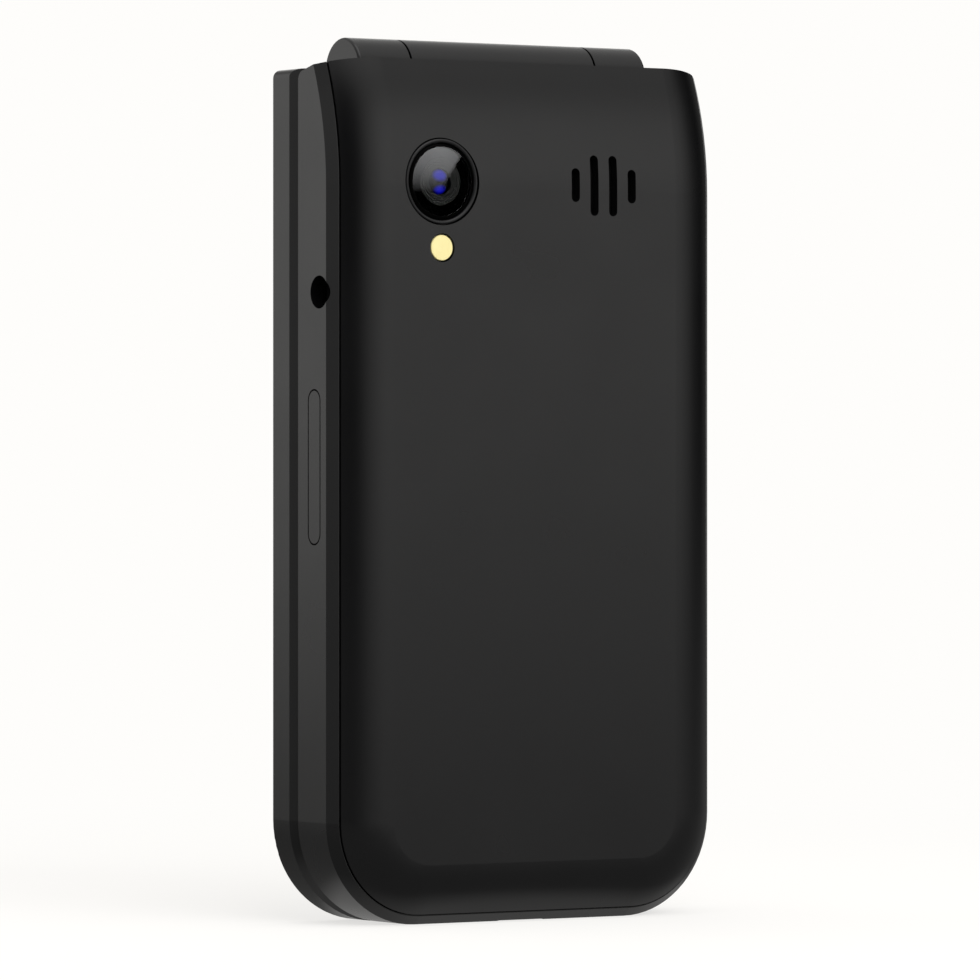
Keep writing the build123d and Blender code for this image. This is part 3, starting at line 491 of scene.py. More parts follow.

# %% [markdown]
# The front lens is a shallow dome. Its coating lets most light in, so the lens itself is near black, and
# the violet blue that the coating sends back is painted into its colour as two reflections, high and low,
# with near black between them: painted reflections that stay in place wherever the light comes from. Each
# is a soft spot, a third wider than high, fading with the distance from its own middle: the piece's
# coordinates are squeezed across before that distance is taken.

# %% Front lens
LENS_RADIUS, LENS_RIM, LENS_RISE = 1.60, 8.84, 0.58
SQUEEZE = np.array([0.75, 1.0, 1.0])
REFLECTION_SIDE, REFLECTION_DEPTH = -0.05, 9.4

coating = finish("Coated_lens_with_painted_reflections", "#030308", "#05050c", roughness=0.25, drift=2.0,
                 gloss=0.03, IOR=1.2)
lens_tree, lens_shader, lens_place = inside(coating)
lens_colour = lens_shader.inputs["Base Color"]
squeezed = add(lens_tree, "ShaderNodeVectorMath", {"operation": "MULTIPLY"}, i0=lens_place,
               i1=SQUEEZE.tolist())


def painted_reflection_spot(under, up, colour, full, gone):
    """Lay a painted reflection of this colour over the colour under it: all of it within full mm of a point
    up mm above the lens's middle, and none of it beyond gone mm."""
    at = place(eye[0] + REFLECTION_SIDE, REFLECTION_DEPTH, eye[1] + up) * SQUEEZE
    away = add(lens_tree, "ShaderNodeVectorMath", {"operation": "DISTANCE"}, i0=squeezed.outputs[0],
               i1=at.tolist())
    soft = add(lens_tree, "ShaderNodeMapRange", {"interpolation_type": "SMOOTHSTEP"},
               Value=away.outputs["Value"], i1=full * MM, i2=gone * MM, i3=1.0, i4=0.0)
    mixed = add(lens_tree, "ShaderNodeMix", {"data_type": "RGBA"}, Factor=soft.outputs["Result"],
                i6=under, i7=linear(colour))
    return mixed.outputs[2]


# The two spots below are painted reflections of the coating, violet blue, one high and one low on the lens.
bare = lens_colour.links[0].from_socket
with_high_reflection = painted_reflection_spot(bare, up=0.83, colour="#1e1ebc", full=0.30, gone=1.02)
with_both_reflections = painted_reflection_spot(with_high_reflection, up=-1.08, colour="#0606cc", full=0.20, gone=0.85)
lens_tree.links.new(with_both_reflections, lens_colour)
dome = [(LENS_RADIUS * math.cos(t), LENS_RIM + LENS_RISE * math.sin(t))
        for t in np.linspace(0, math.pi / 2, 14)]
turned("front_lens", "base", eye, [(0, 8.78), (1.56, 8.78)] + dome, coating, "lens_black")
print("lens dome points", len(dome))

# %% [markdown]
# The flash is a small clear silicone lens over yellow phosphor, so it looks like a soft yellow
# button. Its face is slightly domed and carries fine rings that spread the light. It is turned like
# the camera's pieces: the dome is a parabola and the rings are a cosine cut into it.

# %% Flash lens
FLASH_RADIUS, FLASH_EDGE, FLASH_RISE = 1.44, 10.075, 0.02
GROOVE_PITCH, GROOVE_DEPTH = 0.24, 0.006

flash_at = centre_of("flash_lens")
phosphor = finish("Silicone_over_yellow_phosphor", "#fff0a8", "#fff3b2", roughness=0.25, drift=1.5,
                  gloss=0.05, grain=0.4, relief=0.001, IOR=1.41, Coat_Weight=0.4, Coat_Roughness=0.1)
out_from = np.linspace(FLASH_RADIUS, 0.0, 40)
parabola = FLASH_RISE * (1 - (out_from / FLASH_RADIUS) ** 2)
grooves = GROOVE_DEPTH * (0.5 - 0.5 * np.cos(2 * math.pi * out_from / GROOVE_PITCH))
face = list(zip(out_from.tolist(), (FLASH_EDGE + parabola - grooves).tolist()))
turned("flash_button", "base", flash_at,
       [(0, 5.88), (1.60, 5.88), (1.60, 7.05), (2.20, 7.05), (2.20, 7.55), (1.56, 7.55),
        (1.56, 9.94), (1.55, 10.00), (1.52, 10.05), (1.46, FLASH_EDGE)] + face,
       phosphor, "flash_resin", smooth=50.0, stands_for=["flash_lens"])
print("flash at", [round(v, 2) for v in flash_at])

# %% [markdown]
# Cloths keep dust out of the loudspeaker and the earpiece. A plain weave is a surface whose height
# swaps sign from one crossing to the next: the warp stands high where the weft dips. Real threads
# are near 0.06 mm, too fine to show, so they are drawn 0.22 mm apart.

# %% Woven cloths
THREAD, POINTS_PER_THREAD, WEAVE_SHARE = 0.22, 5, 0.3

polyester = finish("Woven_polyester_black", "#0c0c0d", "#111112", roughness=0.6, drift=1.0,
                   gloss=0.05, grain=0.05, relief=0.004, IOR=1.55)


def weave(name, body, centre, half_x, half_z, radius, flat, woven, **more):
    """Plain-weave cloth with round corners, flat at one depth and woven at the other. The woven
    side's height is lift * sin(pi x / THREAD) * sin(pi z / THREAD), on a grid whose rows shorten
    where the corner circles cut them. The flat side is the same grid."""
    rows = int(half_z * 2 / THREAD * POINTS_PER_THREAD)
    columns = int(half_x * 2 / THREAD * POINTS_PER_THREAD)
    z = np.linspace(-half_z, half_z, rows)[:, None]
    into_corner = np.clip(np.abs(z) - (half_z - radius), 0, radius)
    cut = radius - np.sqrt(np.clip(radius ** 2 - into_corner ** 2, 0, None))
    x = np.linspace(-1, 1, columns)[None, :] * (half_x - cut)
    lift = (woven - flat) * WEAVE_SHARE
    top = woven - lift + lift * np.sin(math.pi * x / THREAD) * np.sin(math.pi * z / THREAD)
    skin = place(x + centre[0], top, z + centre[1]).reshape(-1, 3)
    under = place(x + centre[0], flat, z + centre[1]).reshape(-1, 3)
    faces = grid_faces(rows, columns, round_columns=False)
    count = rows * columns
    index = np.arange(count).reshape(rows, columns)
    rim = np.concatenate([index[0, :], index[1:, -1], index[-1, -2::-1], index[-2:0:-1, 0]])
    next_rim = np.roll(rim, -1)
    wall = np.stack([rim, next_rim, next_rim + count, rim + count], -1)
    everything = np.vstack([faces, faces[:, ::-1] + count, wall])
    piece(name, body, np.vstack([skin, under]), everything, polyester, "mesh_cloth", smooth=80.0,
          **more)


weave("loudspeaker_cloth", "base", centre_of("speaker_mesh"), half_x=6.5, half_z=4.5, radius=1.4,
      flat=8.23, woven=8.37, stands_for=["speaker_mesh"])
weave("earpiece_cloth", "lid", centre_of("earpiece"), half_x=4.45, half_z=0.56, radius=0.55,
      flat=-1.1, woven=-0.95)
print("cloths at", round(centre_of("speaker_mesh")[1], 1), round(centre_of("earpiece")[1], 1))

# %% [markdown]
# The four arrow keys are quarters of a ring round the OK key. A quarter could be cut from a ring
# with booleans, but its corners have to be round, and the cap made of it later needs an outline with
# a normal at every point. So its arcs are worked out instead.

# %% A quarter ring's outline
WEB, NAV_IN, NAV_OUT = 1.2, 6.0, 11.0


def rotated(points, angle):
    """Flat points turned anticlockwise: (x, z) times the rows (cos a, sin a) and (-sin a, cos a)."""
    c, s = math.cos(angle), math.sin(angle)
    return points @ np.array([[c, s], [-s, c]])


def quarter_ring(turn, soft=0.6, count=160):
    """Outline of one navigation key before it is moved to its place. It is a quarter of a ring, cut
    square to leave a web to its neighbours, with corners rounded by soft: the same shape drawn in by
    soft, then let out again along its normals, with arcs round its corners."""
    inner, outer = NAV_IN + soft, NAV_OUT - soft
    cut = WEB / math.sqrt(2) + soft * math.sqrt(2)
    i, o = [math.acos(cut / (r * math.sqrt(2))) - math.pi / 4 for r in (inner, outer)]

    def corner(radius, t, first, last):
        """Arc of radius soft, from one direction to the next, round the point that lies at this
        radius and angle t from upright."""
        a, b = math.atan2(first[1], first[0]), math.atan2(last[1], last[0])
        angle = np.linspace(a, b if b > a else b + 2 * math.pi, 12)
        x, z = radius * math.sin(t), radius * math.cos(t)
        return np.stack([x + soft * np.cos(angle), z + soft * np.sin(angle)], -1)

    def arc(radius, t0, t1):
        """Part of a circle round the ring's middle, between two angles from upright."""
        t = np.linspace(t0, t1, 60)
        return np.stack([radius * np.sin(t), radius * np.cos(t)], -1)

    left, right = (-1, -1), (1, -1)
    loop = np.vstack([
        arc(NAV_OUT, o, -o),
        corner(outer, -o, (-math.sin(o), math.cos(o)), left),
        corner(inner, -i, left, (math.sin(i), -math.cos(i))),
        arc(NAV_IN, -i, i),
        corner(inner, i, (-math.sin(i), -math.cos(i)), right),
        corner(outer, o, right, (math.sin(o), math.cos(o)))])
    return rotated(evenly(loop, count), turn)


print("points in a quarter", len(quarter_ring(0.0)))

# %% [markdown]
# The other seventeen keys are rectangles with round corners, the round OK key among them. Their sizes
# are read from the CAD nodes, whose boxes include the lip that holds each key under the deck, so
# every outline leaves the lip out.

# %% Key outlines
LIP, KEY_RADIUS, OK_RADIUS = 0.4, 2.0, 4.8
HAIR = 0.001

keys = {}
for name in nodes:
    if name.startswith(("key_", "soft_key")) or name in ("ok_key", "call_key", "end_key"):
        half = middle(name)[1]
        # A hair less than the full radius, so that the round OK key keeps sides longer than 0.
        radius = (OK_RADIUS if name == "ok_key" else KEY_RADIUS) - HAIR
        keys[name] = (centre_of(name), round_rectangle(2 * (half[0] - LIP), 2 * (half[2] - LIP), radius))
nav_at = (0.0, centre_of("ok_key")[1])
NAV_TURNS = {"nav_up": 0.0, "nav_left": math.pi / 2, "nav_down": math.pi, "nav_right": -math.pi / 2}
for name, turn in NAV_TURNS.items():
    keys[name] = (nav_at, quarter_ring(turn))
print("keys", len(keys), "nav at", round(nav_at[1], 2))

# %% [markdown]
# Each key cap is a pillow: a skirt that runs down through the deck to a lip, a rounded edge, and a
# face that rises by 0.16 mm towards its middle. Its rings are the outline moved inwards along its
# normals, and the face is the last ring drawn together towards the middle. How far it has come is s,
# 1 at the edge and 0 at the middle, and the face lies RISE * s squared below its highest point.

# %% Key caps
FACE, RISE, EDGE = 0.2, 0.16, 0.32
FOOT, LIP_TOP = 2.15, 1.65


def key_cap(name, centre, outline):
    """Closed cap: the foot's middle point, rings (how far in, depth) up to the face, and the pillow
    down to its middle point. Gives the face's middle and last ring, from which a print finds how
    deep the face lies."""
    step = np.roll(outline, -1, 0) - np.roll(outline, 1, 0)
    outward = np.stack([step[:, 1], -step[:, 0]], -1) / np.hypot(*step.T)[:, None]
    rings = [(-LIP, FOOT), (-LIP, LIP_TOP), (0.0, LIP_TOP)]
    rings += [(EDGE * (1 - math.cos(t)), FACE + RISE + EDGE * (1 - math.sin(t)))
              for t in np.linspace(0, math.pi / 2, 7)]
    last = outline - outward * EDGE
    heart = last.mean(0)

    def level(ring, depth):
        """One ring of the cap at this depth."""
        return place(ring[:, 0] + centre[0], depth, ring[:, 1] + centre[1])

    levels = [level(np.tile(heart, (len(outline), 1)), FOOT)]
    levels += [level(outline - outward * inset, depth) for inset, depth in rings]
    levels += [level(heart + (last - heart) * s, FACE + RISE * s * s) for s in np.linspace(1, 0, 9)[1:]]
    points = np.stack(levels)
    piece(name + "_cap", name, points, grid_faces(len(points), len(outline)), soft_lacquer,
          "key_plastic", smooth=30.0, stands_for=[name])
    return heart + np.array(centre), last + np.array(centre)


key_faces = {name: key_cap(name, centre, outline) for name, (centre, outline) in keys.items()}
print("caps", len(key_faces))

# %% [markdown]
# The digits and signs are printed on the caps in thin ink. Each is flat artwork first: a text or a
# small outline, made a mesh with a little thickness. Its points are then laid on the pillow face by
# the same rule that shaped it, so the print follows the curve.

# %% Prints on the keys
INK_HEIGHT = 0.03


def pad_ink(name, colour, other):
    """Ink pressed on by a soft pad, which leaves a thin, slightly uneven film."""
    return finish(name, colour, other, roughness=0.45, drift=2.0, gloss=0.05, grain=0.1,
                  relief=0.002, IOR=1.5)


white_ink = pad_ink("Pad_printed_ink_white", "#dcdcd8", "#e4e4e0")
green_ink = pad_ink("Pad_printed_ink_green", "#2f9a4c", "#36a855")
red_ink = pad_ink("Pad_printed_ink_red", "#c2332c", "#cf3d35")


def lay_print(name, key, flat, faces, material):
    """Flat artwork (x, z, height) round the key face's middle, laid on the pillow: s at a point is its
    distance from the middle over the last ring's distance in the same direction."""
    heart, last = key_faces[key]
    offset = last - heart
    ring_angle, ring_radius = np.arctan2(offset[:, 1], offset[:, 0]), np.hypot(*offset.T)
    order = np.argsort(ring_angle)
    angle = np.arctan2(flat[:, 1], flat[:, 0])
    edge = np.interp(angle, ring_angle[order], ring_radius[order], period=2 * math.pi)
    s = np.hypot(flat[:, 0], flat[:, 1]) / edge
    depth = FACE + RISE * s * s - flat[:, 2]
    points = place(flat[:, 0] + heart[0], depth, flat[:, 1] + heart[1])
    piece(name, key, points, faces, material, "key_plastic", smooth=30.0)


print(white_ink.name, green_ink.name, red_ink.name)

# %% [markdown]
# A digit could be drawn stroke by stroke, but Blender's own plain font has good ones. A text's mesh
# has points only along its outlines, and a long stroke laid on a curved face would sink into it half
# way along. So planes cut the mesh up both ways before it is laid.

# %% Digits
DIGIT_SIZE, STAR_SIZE, HASH_SIZE = 6.2, 7.5, 5.4


def text_print(key, letter, size, pitch=0.45):
    """A digit or sign as a mesh from the plain font, centred, in the font's size in mm, cut up by
    planes pitch mm apart."""
    text = bpy.data.curves.new("artwork", "FONT")
    text.body = letter
    text.size = size
    text.extrude = INK_HEIGHT
    text.resolution_u = 6
    text.align_x = "CENTER"
    text.align_y = "CENTER"
    holder = bpy.data.objects.new("artwork", text)
    artwork = bmesh.new()
    artwork.from_mesh(bpy.data.meshes.new_from_object(holder))
    bpy.data.objects.remove(holder)
    bmesh.ops.remove_doubles(artwork, verts=artwork.verts, dist=1e-4)
    for normal in ((1, 0, 0), (0, 1, 0)):
        for at in np.arange(-size, size, pitch):
            everything = artwork.verts[:] + artwork.edges[:] + artwork.faces[:]
            bmesh.ops.bisect_plane(artwork, geom=everything, dist=1e-4,
                                   plane_co=[at * n for n in normal], plane_no=normal)
    bmesh.ops.triangulate(artwork, faces=artwork.faces)
    artwork.verts.index_update()
    points = np.array([v.co for v in artwork.verts])
    points[:, :2] -= (points[:, :2].max(0) + points[:, :2].min(0)) / 2
    triangles = np.array([[v.index for v in f.verts] for f in artwork.faces])
    artwork.free()
    lay_print(key + "_print", key, points, triangles, white_ink)


for digit in "0123456789":
    text_print("key_" + digit, digit, DIGIT_SIZE)
text_print("key_star", "*", STAR_SIZE)
text_print("key_hash", "#", HASH_SIZE)
print("digits printed")

# %% [markdown]
# The call and end keys carry a handset, the soft keys a dash, the arrow keys an arrowhead and the OK
# key a ring. None of them needs a font: each is a ribbon along a short path, with its own width at
# every point. A handset is an arched ribbon that swells to its two cups, and an arrowhead is a
# straight one that narrows to its tip.

# %% Signs
def band_print(key, path, half_width, material):
    """A stroke: a flat ribbon of these half widths along a path, INK_HEIGHT proud, closed all round."""
    step = np.gradient(path, axis=0)
    across = np.stack([-step[:, 1], step[:, 0]], -1) / np.hypot(*step.T)[:, None]
    side = across * np.asarray(half_width)[:, None]
    count = len(path)
    edges = [np.column_stack([path + k * side, np.full(count, h)]) for k, h in
             ((1, INK_HEIGHT), (-1, INK_HEIGHT), (-1, -INK_HEIGHT), (1, -INK_HEIGHT))]
    ends = np.array([np.arange(4), 4 * (count - 1) + np.arange(4)])
    faces = np.vstack([grid_faces(count, 4), ends])
    lay_print(key + "_sign", key, np.stack(edges, 1).reshape(-1, 3), faces, material)


HALF_HANDSET, ARCH, ENDS_DROP = 2.6, 0.9, 0.2
GRIP, CUP, CUP_FROM, CUP_STEEPNESS = 0.32, 0.42, 0.72, 22
HALF_DASH, DASH_STROKE = 1.5, 0.3
HALF_ARROW, ARROW_FOOT, ARROW_TIP = 0.75, 1.1, 0.06
RING_RADIUS, RING_STROKE = 1.5, 0.22

along = np.linspace(-1, 1, 41)
handset = np.column_stack([HALF_HANDSET * along, ARCH * (1 - along ** 2) - ENDS_DROP])
# The half width is GRIP, and grows by CUP along an S-curve about CUP_FROM of the way out.
cups = GRIP + CUP / (1 + np.exp(-(np.abs(along) - CUP_FROM) * CUP_STEEPNESS))
band_print("call_key", rotated(handset, math.radians(40)), cups, green_ink)
band_print("end_key", handset, cups, red_ink)
dash = np.column_stack([np.linspace(-HALF_DASH, HALF_DASH, 13), np.zeros(13)])
for key in ("soft_key_left", "soft_key_right"):
    band_print(key, dash, np.full(13, DASH_STROKE), white_ink)
arrow = np.column_stack([np.zeros(9), np.linspace(-HALF_ARROW, HALF_ARROW, 9)])
for key, turn in NAV_TURNS.items():
    band_print(key, rotated(arrow, turn), np.linspace(ARROW_FOOT, ARROW_TIP, 9), white_ink)
round_angle = np.linspace(0, 2 * math.pi, 49)
ok_ring = RING_RADIUS * np.column_stack([np.cos(round_angle), np.sin(round_angle)])
band_print("ok_key", ok_ring, np.full(49, RING_STROKE), white_ink)
print("signs printed")

# %% [markdown]
# The charging socket's tongue carries twelve gold contacts on each side, half a millimetre apart. A
# contact is a small bar, and all of them are one mesh: the same eight corners shifted along a row.

# %% Socket contacts
CONTACTS, CONTACT_PITCH, CONTACT_Z = 12, 0.5, 3.3
TONGUE_DEPTH, HALF_TONGUE = 4.55, 0.35
HALF_CONTACT = (0.15, 0.03, 1.7)


def bars(centres, half):
    """Boxes at these centres with these half sizes, as corner points and faces of one mesh."""
    corner = np.array([(x, y, z) for x in (-1, 1) for y in (-1, 1) for z in (-1, 1)], float) * half
    points = (centres[:, None, :] + corner[None]).reshape(-1, 3)
    quads = np.array([(0, 1, 3, 2), (4, 6, 7, 5), (0, 4, 5, 1), (2, 3, 7, 6), (0, 2, 6, 4), (1, 5, 7, 3)])
    return points, (np.arange(len(centres))[:, None, None] * 8 + quads[None]).reshape(-1, 4)


row_x = (np.arange(CONTACTS) - (CONTACTS - 1) / 2) * CONTACT_PITCH
contact_x = np.tile(row_x, 2)
contact_depth = TONGUE_DEPTH + np.repeat([-HALF_TONGUE, HALF_TONGUE], CONTACTS)
contact_points, contact_faces = bars(
    np.column_stack([contact_x, contact_depth, np.full(2 * CONTACTS, CONTACT_Z)]), HALF_CONTACT)
piece("socket_contacts", "base", place(*contact_points.T), contact_faces, gold, "contact_metal")
print("contacts", len(contact_x))

# %% [markdown]
# The camera stands behind the phone, 33 degrees round towards the side with the volume key, 0.86 m
# away, at half its height and level, so that the phone's upright edges stay upright. A long lens
# keeps the perspective weak, and a shift of 1 % of the frame's width leaves a little more room below
# the phone than above it. STAND is in millimetres in the phone's own directions.

# %% Camera view
TURN = math.radians(33.1)
STAND = (467.68, 717.09, 54.04)
FOCAL_LENGTH, SENSOR, SHIFT = 254.63, 36.0, -0.0105

camera_data = bpy.data.cameras.new("camera")
camera = new_object("camera", camera_data)
camera_data.lens = FOCAL_LENGTH
camera_data.sensor_width = SENSOR
camera_data.shift_y = SHIFT
camera_data.clip_start = 0.01
camera_data.clip_end = 20.0
camera.location = place(*STAND).tolist()
camera.rotation_euler = (math.pi / 2, 0, math.pi - TURN)
bpy.context.scene.camera = camera
bpy.context.scene.view_settings.view_transform = "Standard"
print("camera", tuple(round(v, 3) for v in camera.location))

# %% [markdown]
# A camera's cover glass is flat, so one small thing in the room decides what it shows. Here it is a
# white card with a slanted edge in front of a black one, on the side that the glass mirrors. Each
# card is found backwards: a point on the glass, carried on for 0.3 m along the ray that left the
# mirrored camera. The white card fades downwards. Both are seen in mirrors, and through glass, since
# half of the mirroring happens on the glass's inner face.

# %% Cards in the camera's glass
GLASS_FACE, CARD_REACH, WHITE_CARD_GLOW = 10.05, 6.0, 2.9
WHITE_LOW, WHITE_FULL = -1.3, 4.2
SLANT_X, SLANT = -0.65, -0.68

mirrored = Vector(camera.location)
mirrored.y = 2 * (GLASS_FACE + Y0) * MM - mirrored.y


def behind_glass(x, z, distance):
    """Points seen in the glass at x and z mm from the eye's middle, distance m from it:
    Q = P + distance * (P - C) / |P - C|, with P on the glass and C the mirrored camera."""
    on_glass = place(x + eye[0], GLASS_FACE, z + eye[1])
    ray = on_glass - np.array(mirrored)
    return on_glass + distance * ray / np.linalg.norm(ray, axis=-1, keepdims=True)


def card(name, points, material):
    """A card through a grid of points, seen only in mirrors and through glass."""
    mesh = bpy.data.meshes.new(name)
    faces = grid_faces(*points.shape[:2], round_columns=False)
    mesh.from_pydata(points.reshape(-1, 3).tolist(), [], faces.tolist())
    mesh.materials.append(material)
    item = new_object(name, mesh)
    item.visible_camera = item.visible_diffuse = item.visible_shadow = False


def card_glow(name, strength, low, high):
    """An emission that rises from nothing at height low to its full strength at height high, in m."""
    material, tree = empty_material(name)
    where = add(tree, "ShaderNodeTexCoord").outputs["Object"]
    height = add(tree, "ShaderNodeSeparateXYZ", None, Vector=where).outputs["Z"]
    rise = add(tree, "ShaderNodeMapRange", None, Value=height, i1=low, i2=high, i3=0.0, i4=strength)
    glow = add(tree, "ShaderNodeEmission", None, Strength=rise.outputs["Result"])
    add(tree, "ShaderNodeOutputMaterial", None, Surface=glow.outputs[0])
    return material


print("mirrored camera", tuple(round(v, 3) for v in mirrored))

# %% [markdown]
# The black card fills the whole glass, and the white one lies a centimetre in front of it. One edge
# of the white card is slanted: it is a straight line in the glass, so each row of its points starts
# on that line. How high its glow starts and where it is full are read off the finished points.

# %% White card and black card
WHITE_AWAY, BLACK_AWAY = 0.30, 0.31

card_x = np.linspace(-CARD_REACH, CARD_REACH, 7)[None, :]
card_z = np.linspace(-CARD_REACH, CARD_REACH, 7)[:, None]
card("black_card", behind_glass(card_x, card_z, BLACK_AWAY),
     card_glow("Black_card", strength=0.0, low=0.0, high=1.0))

white_z = np.linspace(WHITE_LOW, CARD_REACH, 9)[:, None]
slanted = SLANT_X + SLANT * white_z
white_x = slanted + (CARD_REACH - slanted) * np.linspace(0, 1, 7)[None, :]
white_points = behind_glass(white_x, white_z, WHITE_AWAY)
heights = white_points[:, 0, 2]
starts, full = np.interp([WHITE_LOW, WHITE_FULL], white_z[:, 0], heights)
card("white_card", white_points,
     card_glow("White_card", strength=WHITE_CARD_GLOW, low=starts, high=full))
print("white card from", round(heights[0], 4), "to", round(heights[-1], 4), "m high")

# %% [markdown]
# The phone stands on a plain pale table in a white room. To the camera, and through glass, the
# table has a glow added that brings it up to white where nothing shades it, so the phone's own soft
# shadow stays. Further off it fades into the plain white of the room, so no seam shows.

# %% Table
TABLE_HALF, TABLE_GLOW = 1.5, 0.70
FOOT_X, FOOT_Y = 28 * MM, 8 * MM
PALE, GREY, GREY_FROM = 0.50, 0.18, 1.45
FADE_FROM, FADE_TO = 0.06, 0.30


def table_material(name, colour):
    """A diffuse pale surface with a glow on top for camera and transmission rays. Mirrors see it PALE
    on an oval as large as the phone's foot, FOOT_X by FOOT_Y from its middle, fading to GREY by
    GREY_FROM times that size, so that the phone's lower edges have something pale to mirror."""
    material, tree = empty_material(name)
    where = add(tree, "ShaderNodeTexCoord").outputs["Object"]
    paths = add(tree, "ShaderNodeLightPath").outputs
    matt = add(tree, "ShaderNodeBsdfDiffuse", None, Color=linear(colour))

    footprints = add(tree, "ShaderNodeVectorMath", {"operation": "MULTIPLY"}, i0=where,
                     i1=(1 / FOOT_X, 1 / FOOT_Y, 0))
    ring = add(tree, "ShaderNodeVectorMath", {"operation": "LENGTH"}, i0=footprints.outputs[0])
    near = add(tree, "ShaderNodeMapRange", None, Value=ring.outputs["Value"],
               i1=1.0, i2=GREY_FROM, i3=PALE, i4=GREY)
    shine = add(tree, "ShaderNodeEmission", None, Color=ROOM_WHITE, Strength=near.outputs["Result"])
    unseen = add(tree, "ShaderNodeMixShader", None, i0=paths["Is Glossy Ray"],
                 i1=matt.outputs[0], i2=shine.outputs[0])

    glow = add(tree, "ShaderNodeEmission", None, Color=ROOM_WHITE, Strength=TABLE_GLOW)
    shaded = add(tree, "ShaderNodeAddShader", None, i0=matt.outputs[0], i1=glow.outputs[0])
    white = add(tree, "ShaderNodeEmission", None, Color=ROOM_WHITE, Strength=1.0)
    away = add(tree, "ShaderNodeVectorMath", {"operation": "LENGTH"}, i0=where)
    far = add(tree, "ShaderNodeMapRange", {"interpolation_type": "SMOOTHSTEP"},
              Value=away.outputs["Value"], i1=FADE_FROM, i2=FADE_TO)
    floor = add(tree, "ShaderNodeMixShader", None, i0=far.outputs["Result"],
                i1=shaded.outputs[0], i2=white.outputs[0])

    seen = add(tree, "ShaderNodeMath", {"operation": "MAXIMUM"}, i0=paths["Is Camera Ray"],
               i1=paths["Is Transmission Ray"])
    surface = add(tree, "ShaderNodeMixShader", None, i0=seen.outputs[0],
                  i1=unseen.outputs[0], i2=floor.outputs[0])
    add(tree, "ShaderNodeOutputMaterial", None, Surface=surface.outputs[0])
    return material


table_mesh = bpy.data.meshes.new("table")
table_corners = [(-1, -1), (1, -1), (1, 1), (-1, 1)]
table_mesh.from_pydata([(x * TABLE_HALF, y * TABLE_HALF, 0) for x, y in table_corners], [], [(0, 1, 2, 3)])
table = new_object("table", table_mesh)
table_mesh.materials.append(table_material("Pale_table", "#a09f9d"))
print("table", 2 * TABLE_HALF, "m wide")

# %% [markdown]
# Satin black shows little but what it mirrors, so the light is shaped by what surrounds the phone:
# soft white walls on both sides, white behind it, darkness where the camera stands, and a pale
# ceiling. The room is a ramp of radiance round the horizon, each stop an azimuth in degrees and its
# radiance. The azimuth turns from the phone's back towards its volume-key side, so the camera stands
# at 33 degrees. The camera sees the room plain white, also straight through glass, but not by way of
# something that glass covers.

# %% Room
ROOM = [(-180, 0.40), (-160, 1.00), (-140, 1.00), (-130, 0.15), (-113, 0.08), (-93, 0.00), (-73, 0.08),
        (-53, 0.48), (-33, 0.96), (-13, 0.90), (7, 0.52), (20, 0.16), (27, 0.02), (33, 0.0), (50, 0.0),
        (60, 0.35), (66, 0.60), (74, 0.50), (100, 0.40), (130, 0.85), (147, 1.05), (165, 0.60), (180, 0.40)]


def grey(radiance):
    """RGBA of this radiance without a colour."""
    return radiance, radiance, radiance, 1


world = bpy.data.worlds.new("room")
bpy.context.scene.world = world
world.use_nodes = True
room_tree = world.node_tree
room_tree.nodes.clear()
direction = add(room_tree, "ShaderNodeTexCoord").outputs["Generated"]
way = add(room_tree, "ShaderNodeSeparateXYZ", None, Vector=direction).outputs
azimuth = add(room_tree, "ShaderNodeMath", {"operation": "ARCTAN2"}, i0=way["X"], i1=way["Y"])
around = add(room_tree, "ShaderNodeMapRange", None, Value=azimuth.outputs[0],
             i1=-math.pi, i2=math.pi, i3=0.0, i4=1.0)
ramp = add(room_tree, "ShaderNodeValToRGB", None, Fac=around.outputs["Result"])
stops = ramp.color_ramp.elements
for degrees, radiance in ROOM[1:-1]:
    stops.new((degrees + 180) / 360).color = grey(radiance)
stops[0].color = grey(ROOM[0][1])
stops[-1].color = grey(ROOM[-1][1])
print("room stops", len(stops))

# %% [markdown]
# Well above eye level the walls fade out, and the ceiling takes over. How high a ray goes is the Z of
# its direction: 0 when level and 1 straight up. Which of the two whites it meets, the shaped or the
# plain one, depends on its way here: Light Path tells whether it comes straight from the camera, or
# through glass with no mirror or matt surface before it.

# %% Walls, ceiling and what the camera sees
WALL_ENDS, WALL_REST = (0.40, 0.60), 0.15
CEILING_STARTS, CEILING = (0.50, 0.65), 0.60

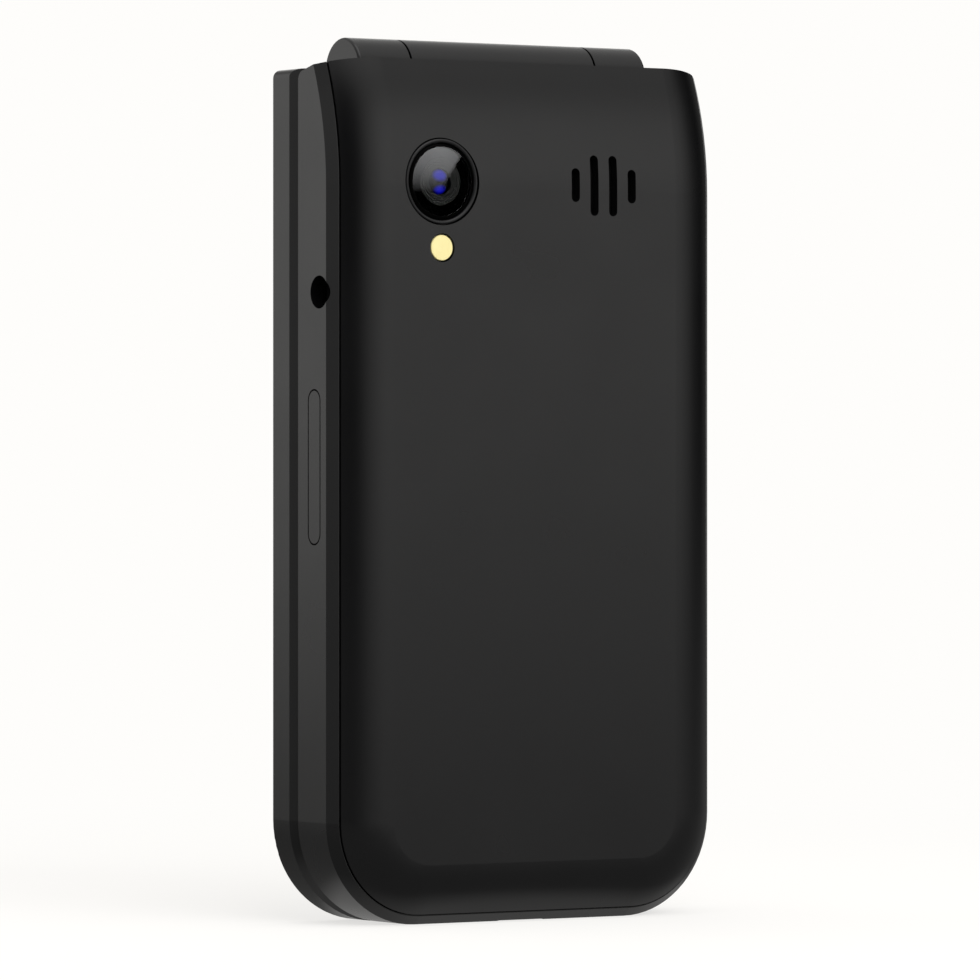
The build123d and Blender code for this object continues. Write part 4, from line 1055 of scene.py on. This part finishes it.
low_down = add(room_tree, "ShaderNodeMapRange", None, Value=way["Z"],
               i1=WALL_ENDS[0], i2=WALL_ENDS[1], i3=1.0, i4=WALL_REST)
wall = add(room_tree, "ShaderNodeMath", {"operation": "MULTIPLY"}, i0=ramp.outputs["Color"],
           i1=low_down.outputs["Result"])
ceiling = add(room_tree, "ShaderNodeMapRange", None, Value=way["Z"],
              i1=CEILING_STARTS[0], i2=CEILING_STARTS[1], i3=0.0, i4=CEILING)
room = add(room_tree, "ShaderNodeMath", {"operation": "ADD"}, i0=wall.outputs[0],
           i1=ceiling.outputs["Result"])
paths = add(room_tree, "ShaderNodeLightPath").outputs
bounces = add(room_tree, "ShaderNodeMath", {"operation": "ADD"}, i0=paths["Glossy Depth"],
              i1=paths["Diffuse Depth"])
straight = add(room_tree, "ShaderNodeMath", {"operation": "LESS_THAN"}, i0=bounces.outputs[0], i1=0.5)
through = add(room_tree, "ShaderNodeMath", {"operation": "MULTIPLY"}, i0=straight.outputs[0],
              i1=paths["Is Transmission Ray"])
seen = add(room_tree, "ShaderNodeMath", {"operation": "MAXIMUM"}, i0=paths["Is Camera Ray"],
           i1=through.outputs[0])
shaped = add(room_tree, "ShaderNodeBackground", None, Color=ROOM_WHITE, Strength=room.outputs[0])
plain = add(room_tree, "ShaderNodeBackground", None, Color=ROOM_WHITE, Strength=1.0)
surround = add(room_tree, "ShaderNodeMixShader", None, i0=seen.outputs[0],
               i1=shaped.outputs[0], i2=plain.outputs[0])
add(room_tree, "ShaderNodeOutputWorld", None, Surface=surround.outputs[0])
print("room nodes", len(room_tree.nodes))

# %% [markdown]
# Two soft lamps help the room. One hangs nearly overhead and is mirrored by what faces upwards. The
# other is a fill lamp on the camera's side of the phone: it brightens matt colours, such as the
# yellow of the flash, and mirrors don't see it, so the shells stay black.

# %% Lamps
LAMP_DISTANCE, PHONE_MIDDLE = 1.0, Vector((0, 0, 54 * MM))


def panel(name, azimuth, elevation, width, height, radiance, in_mirrors):
    """A soft rectangular lamp looking at the phone's middle, with power radiance x area x pi."""
    light = bpy.data.lights.new(name, "AREA")
    light.shape = "RECTANGLE"
    light.size = width
    light.size_y = height
    light.energy = radiance * width * height * math.pi
    a, e = math.radians(azimuth), math.radians(elevation)
    out = Vector((math.sin(a) * math.cos(e), math.cos(a) * math.cos(e), math.sin(e)))
    lamp = new_object(name, light)
    lamp.location = out * LAMP_DISTANCE + PHONE_MIDDLE
    lamp.rotation_euler = (-out).to_track_quat("-Z", "Y").to_euler()
    lamp.visible_camera = False
    lamp.visible_glossy = in_mirrors


panel("top_panel", azimuth=0, elevation=75, width=0.9, height=0.8, radiance=0.8, in_mirrors=True)
panel("fill_panel", azimuth=10, elevation=25, width=0.8, height=0.8, radiance=3.4, in_mirrors=False)
print("lamps", len(bpy.data.lights))
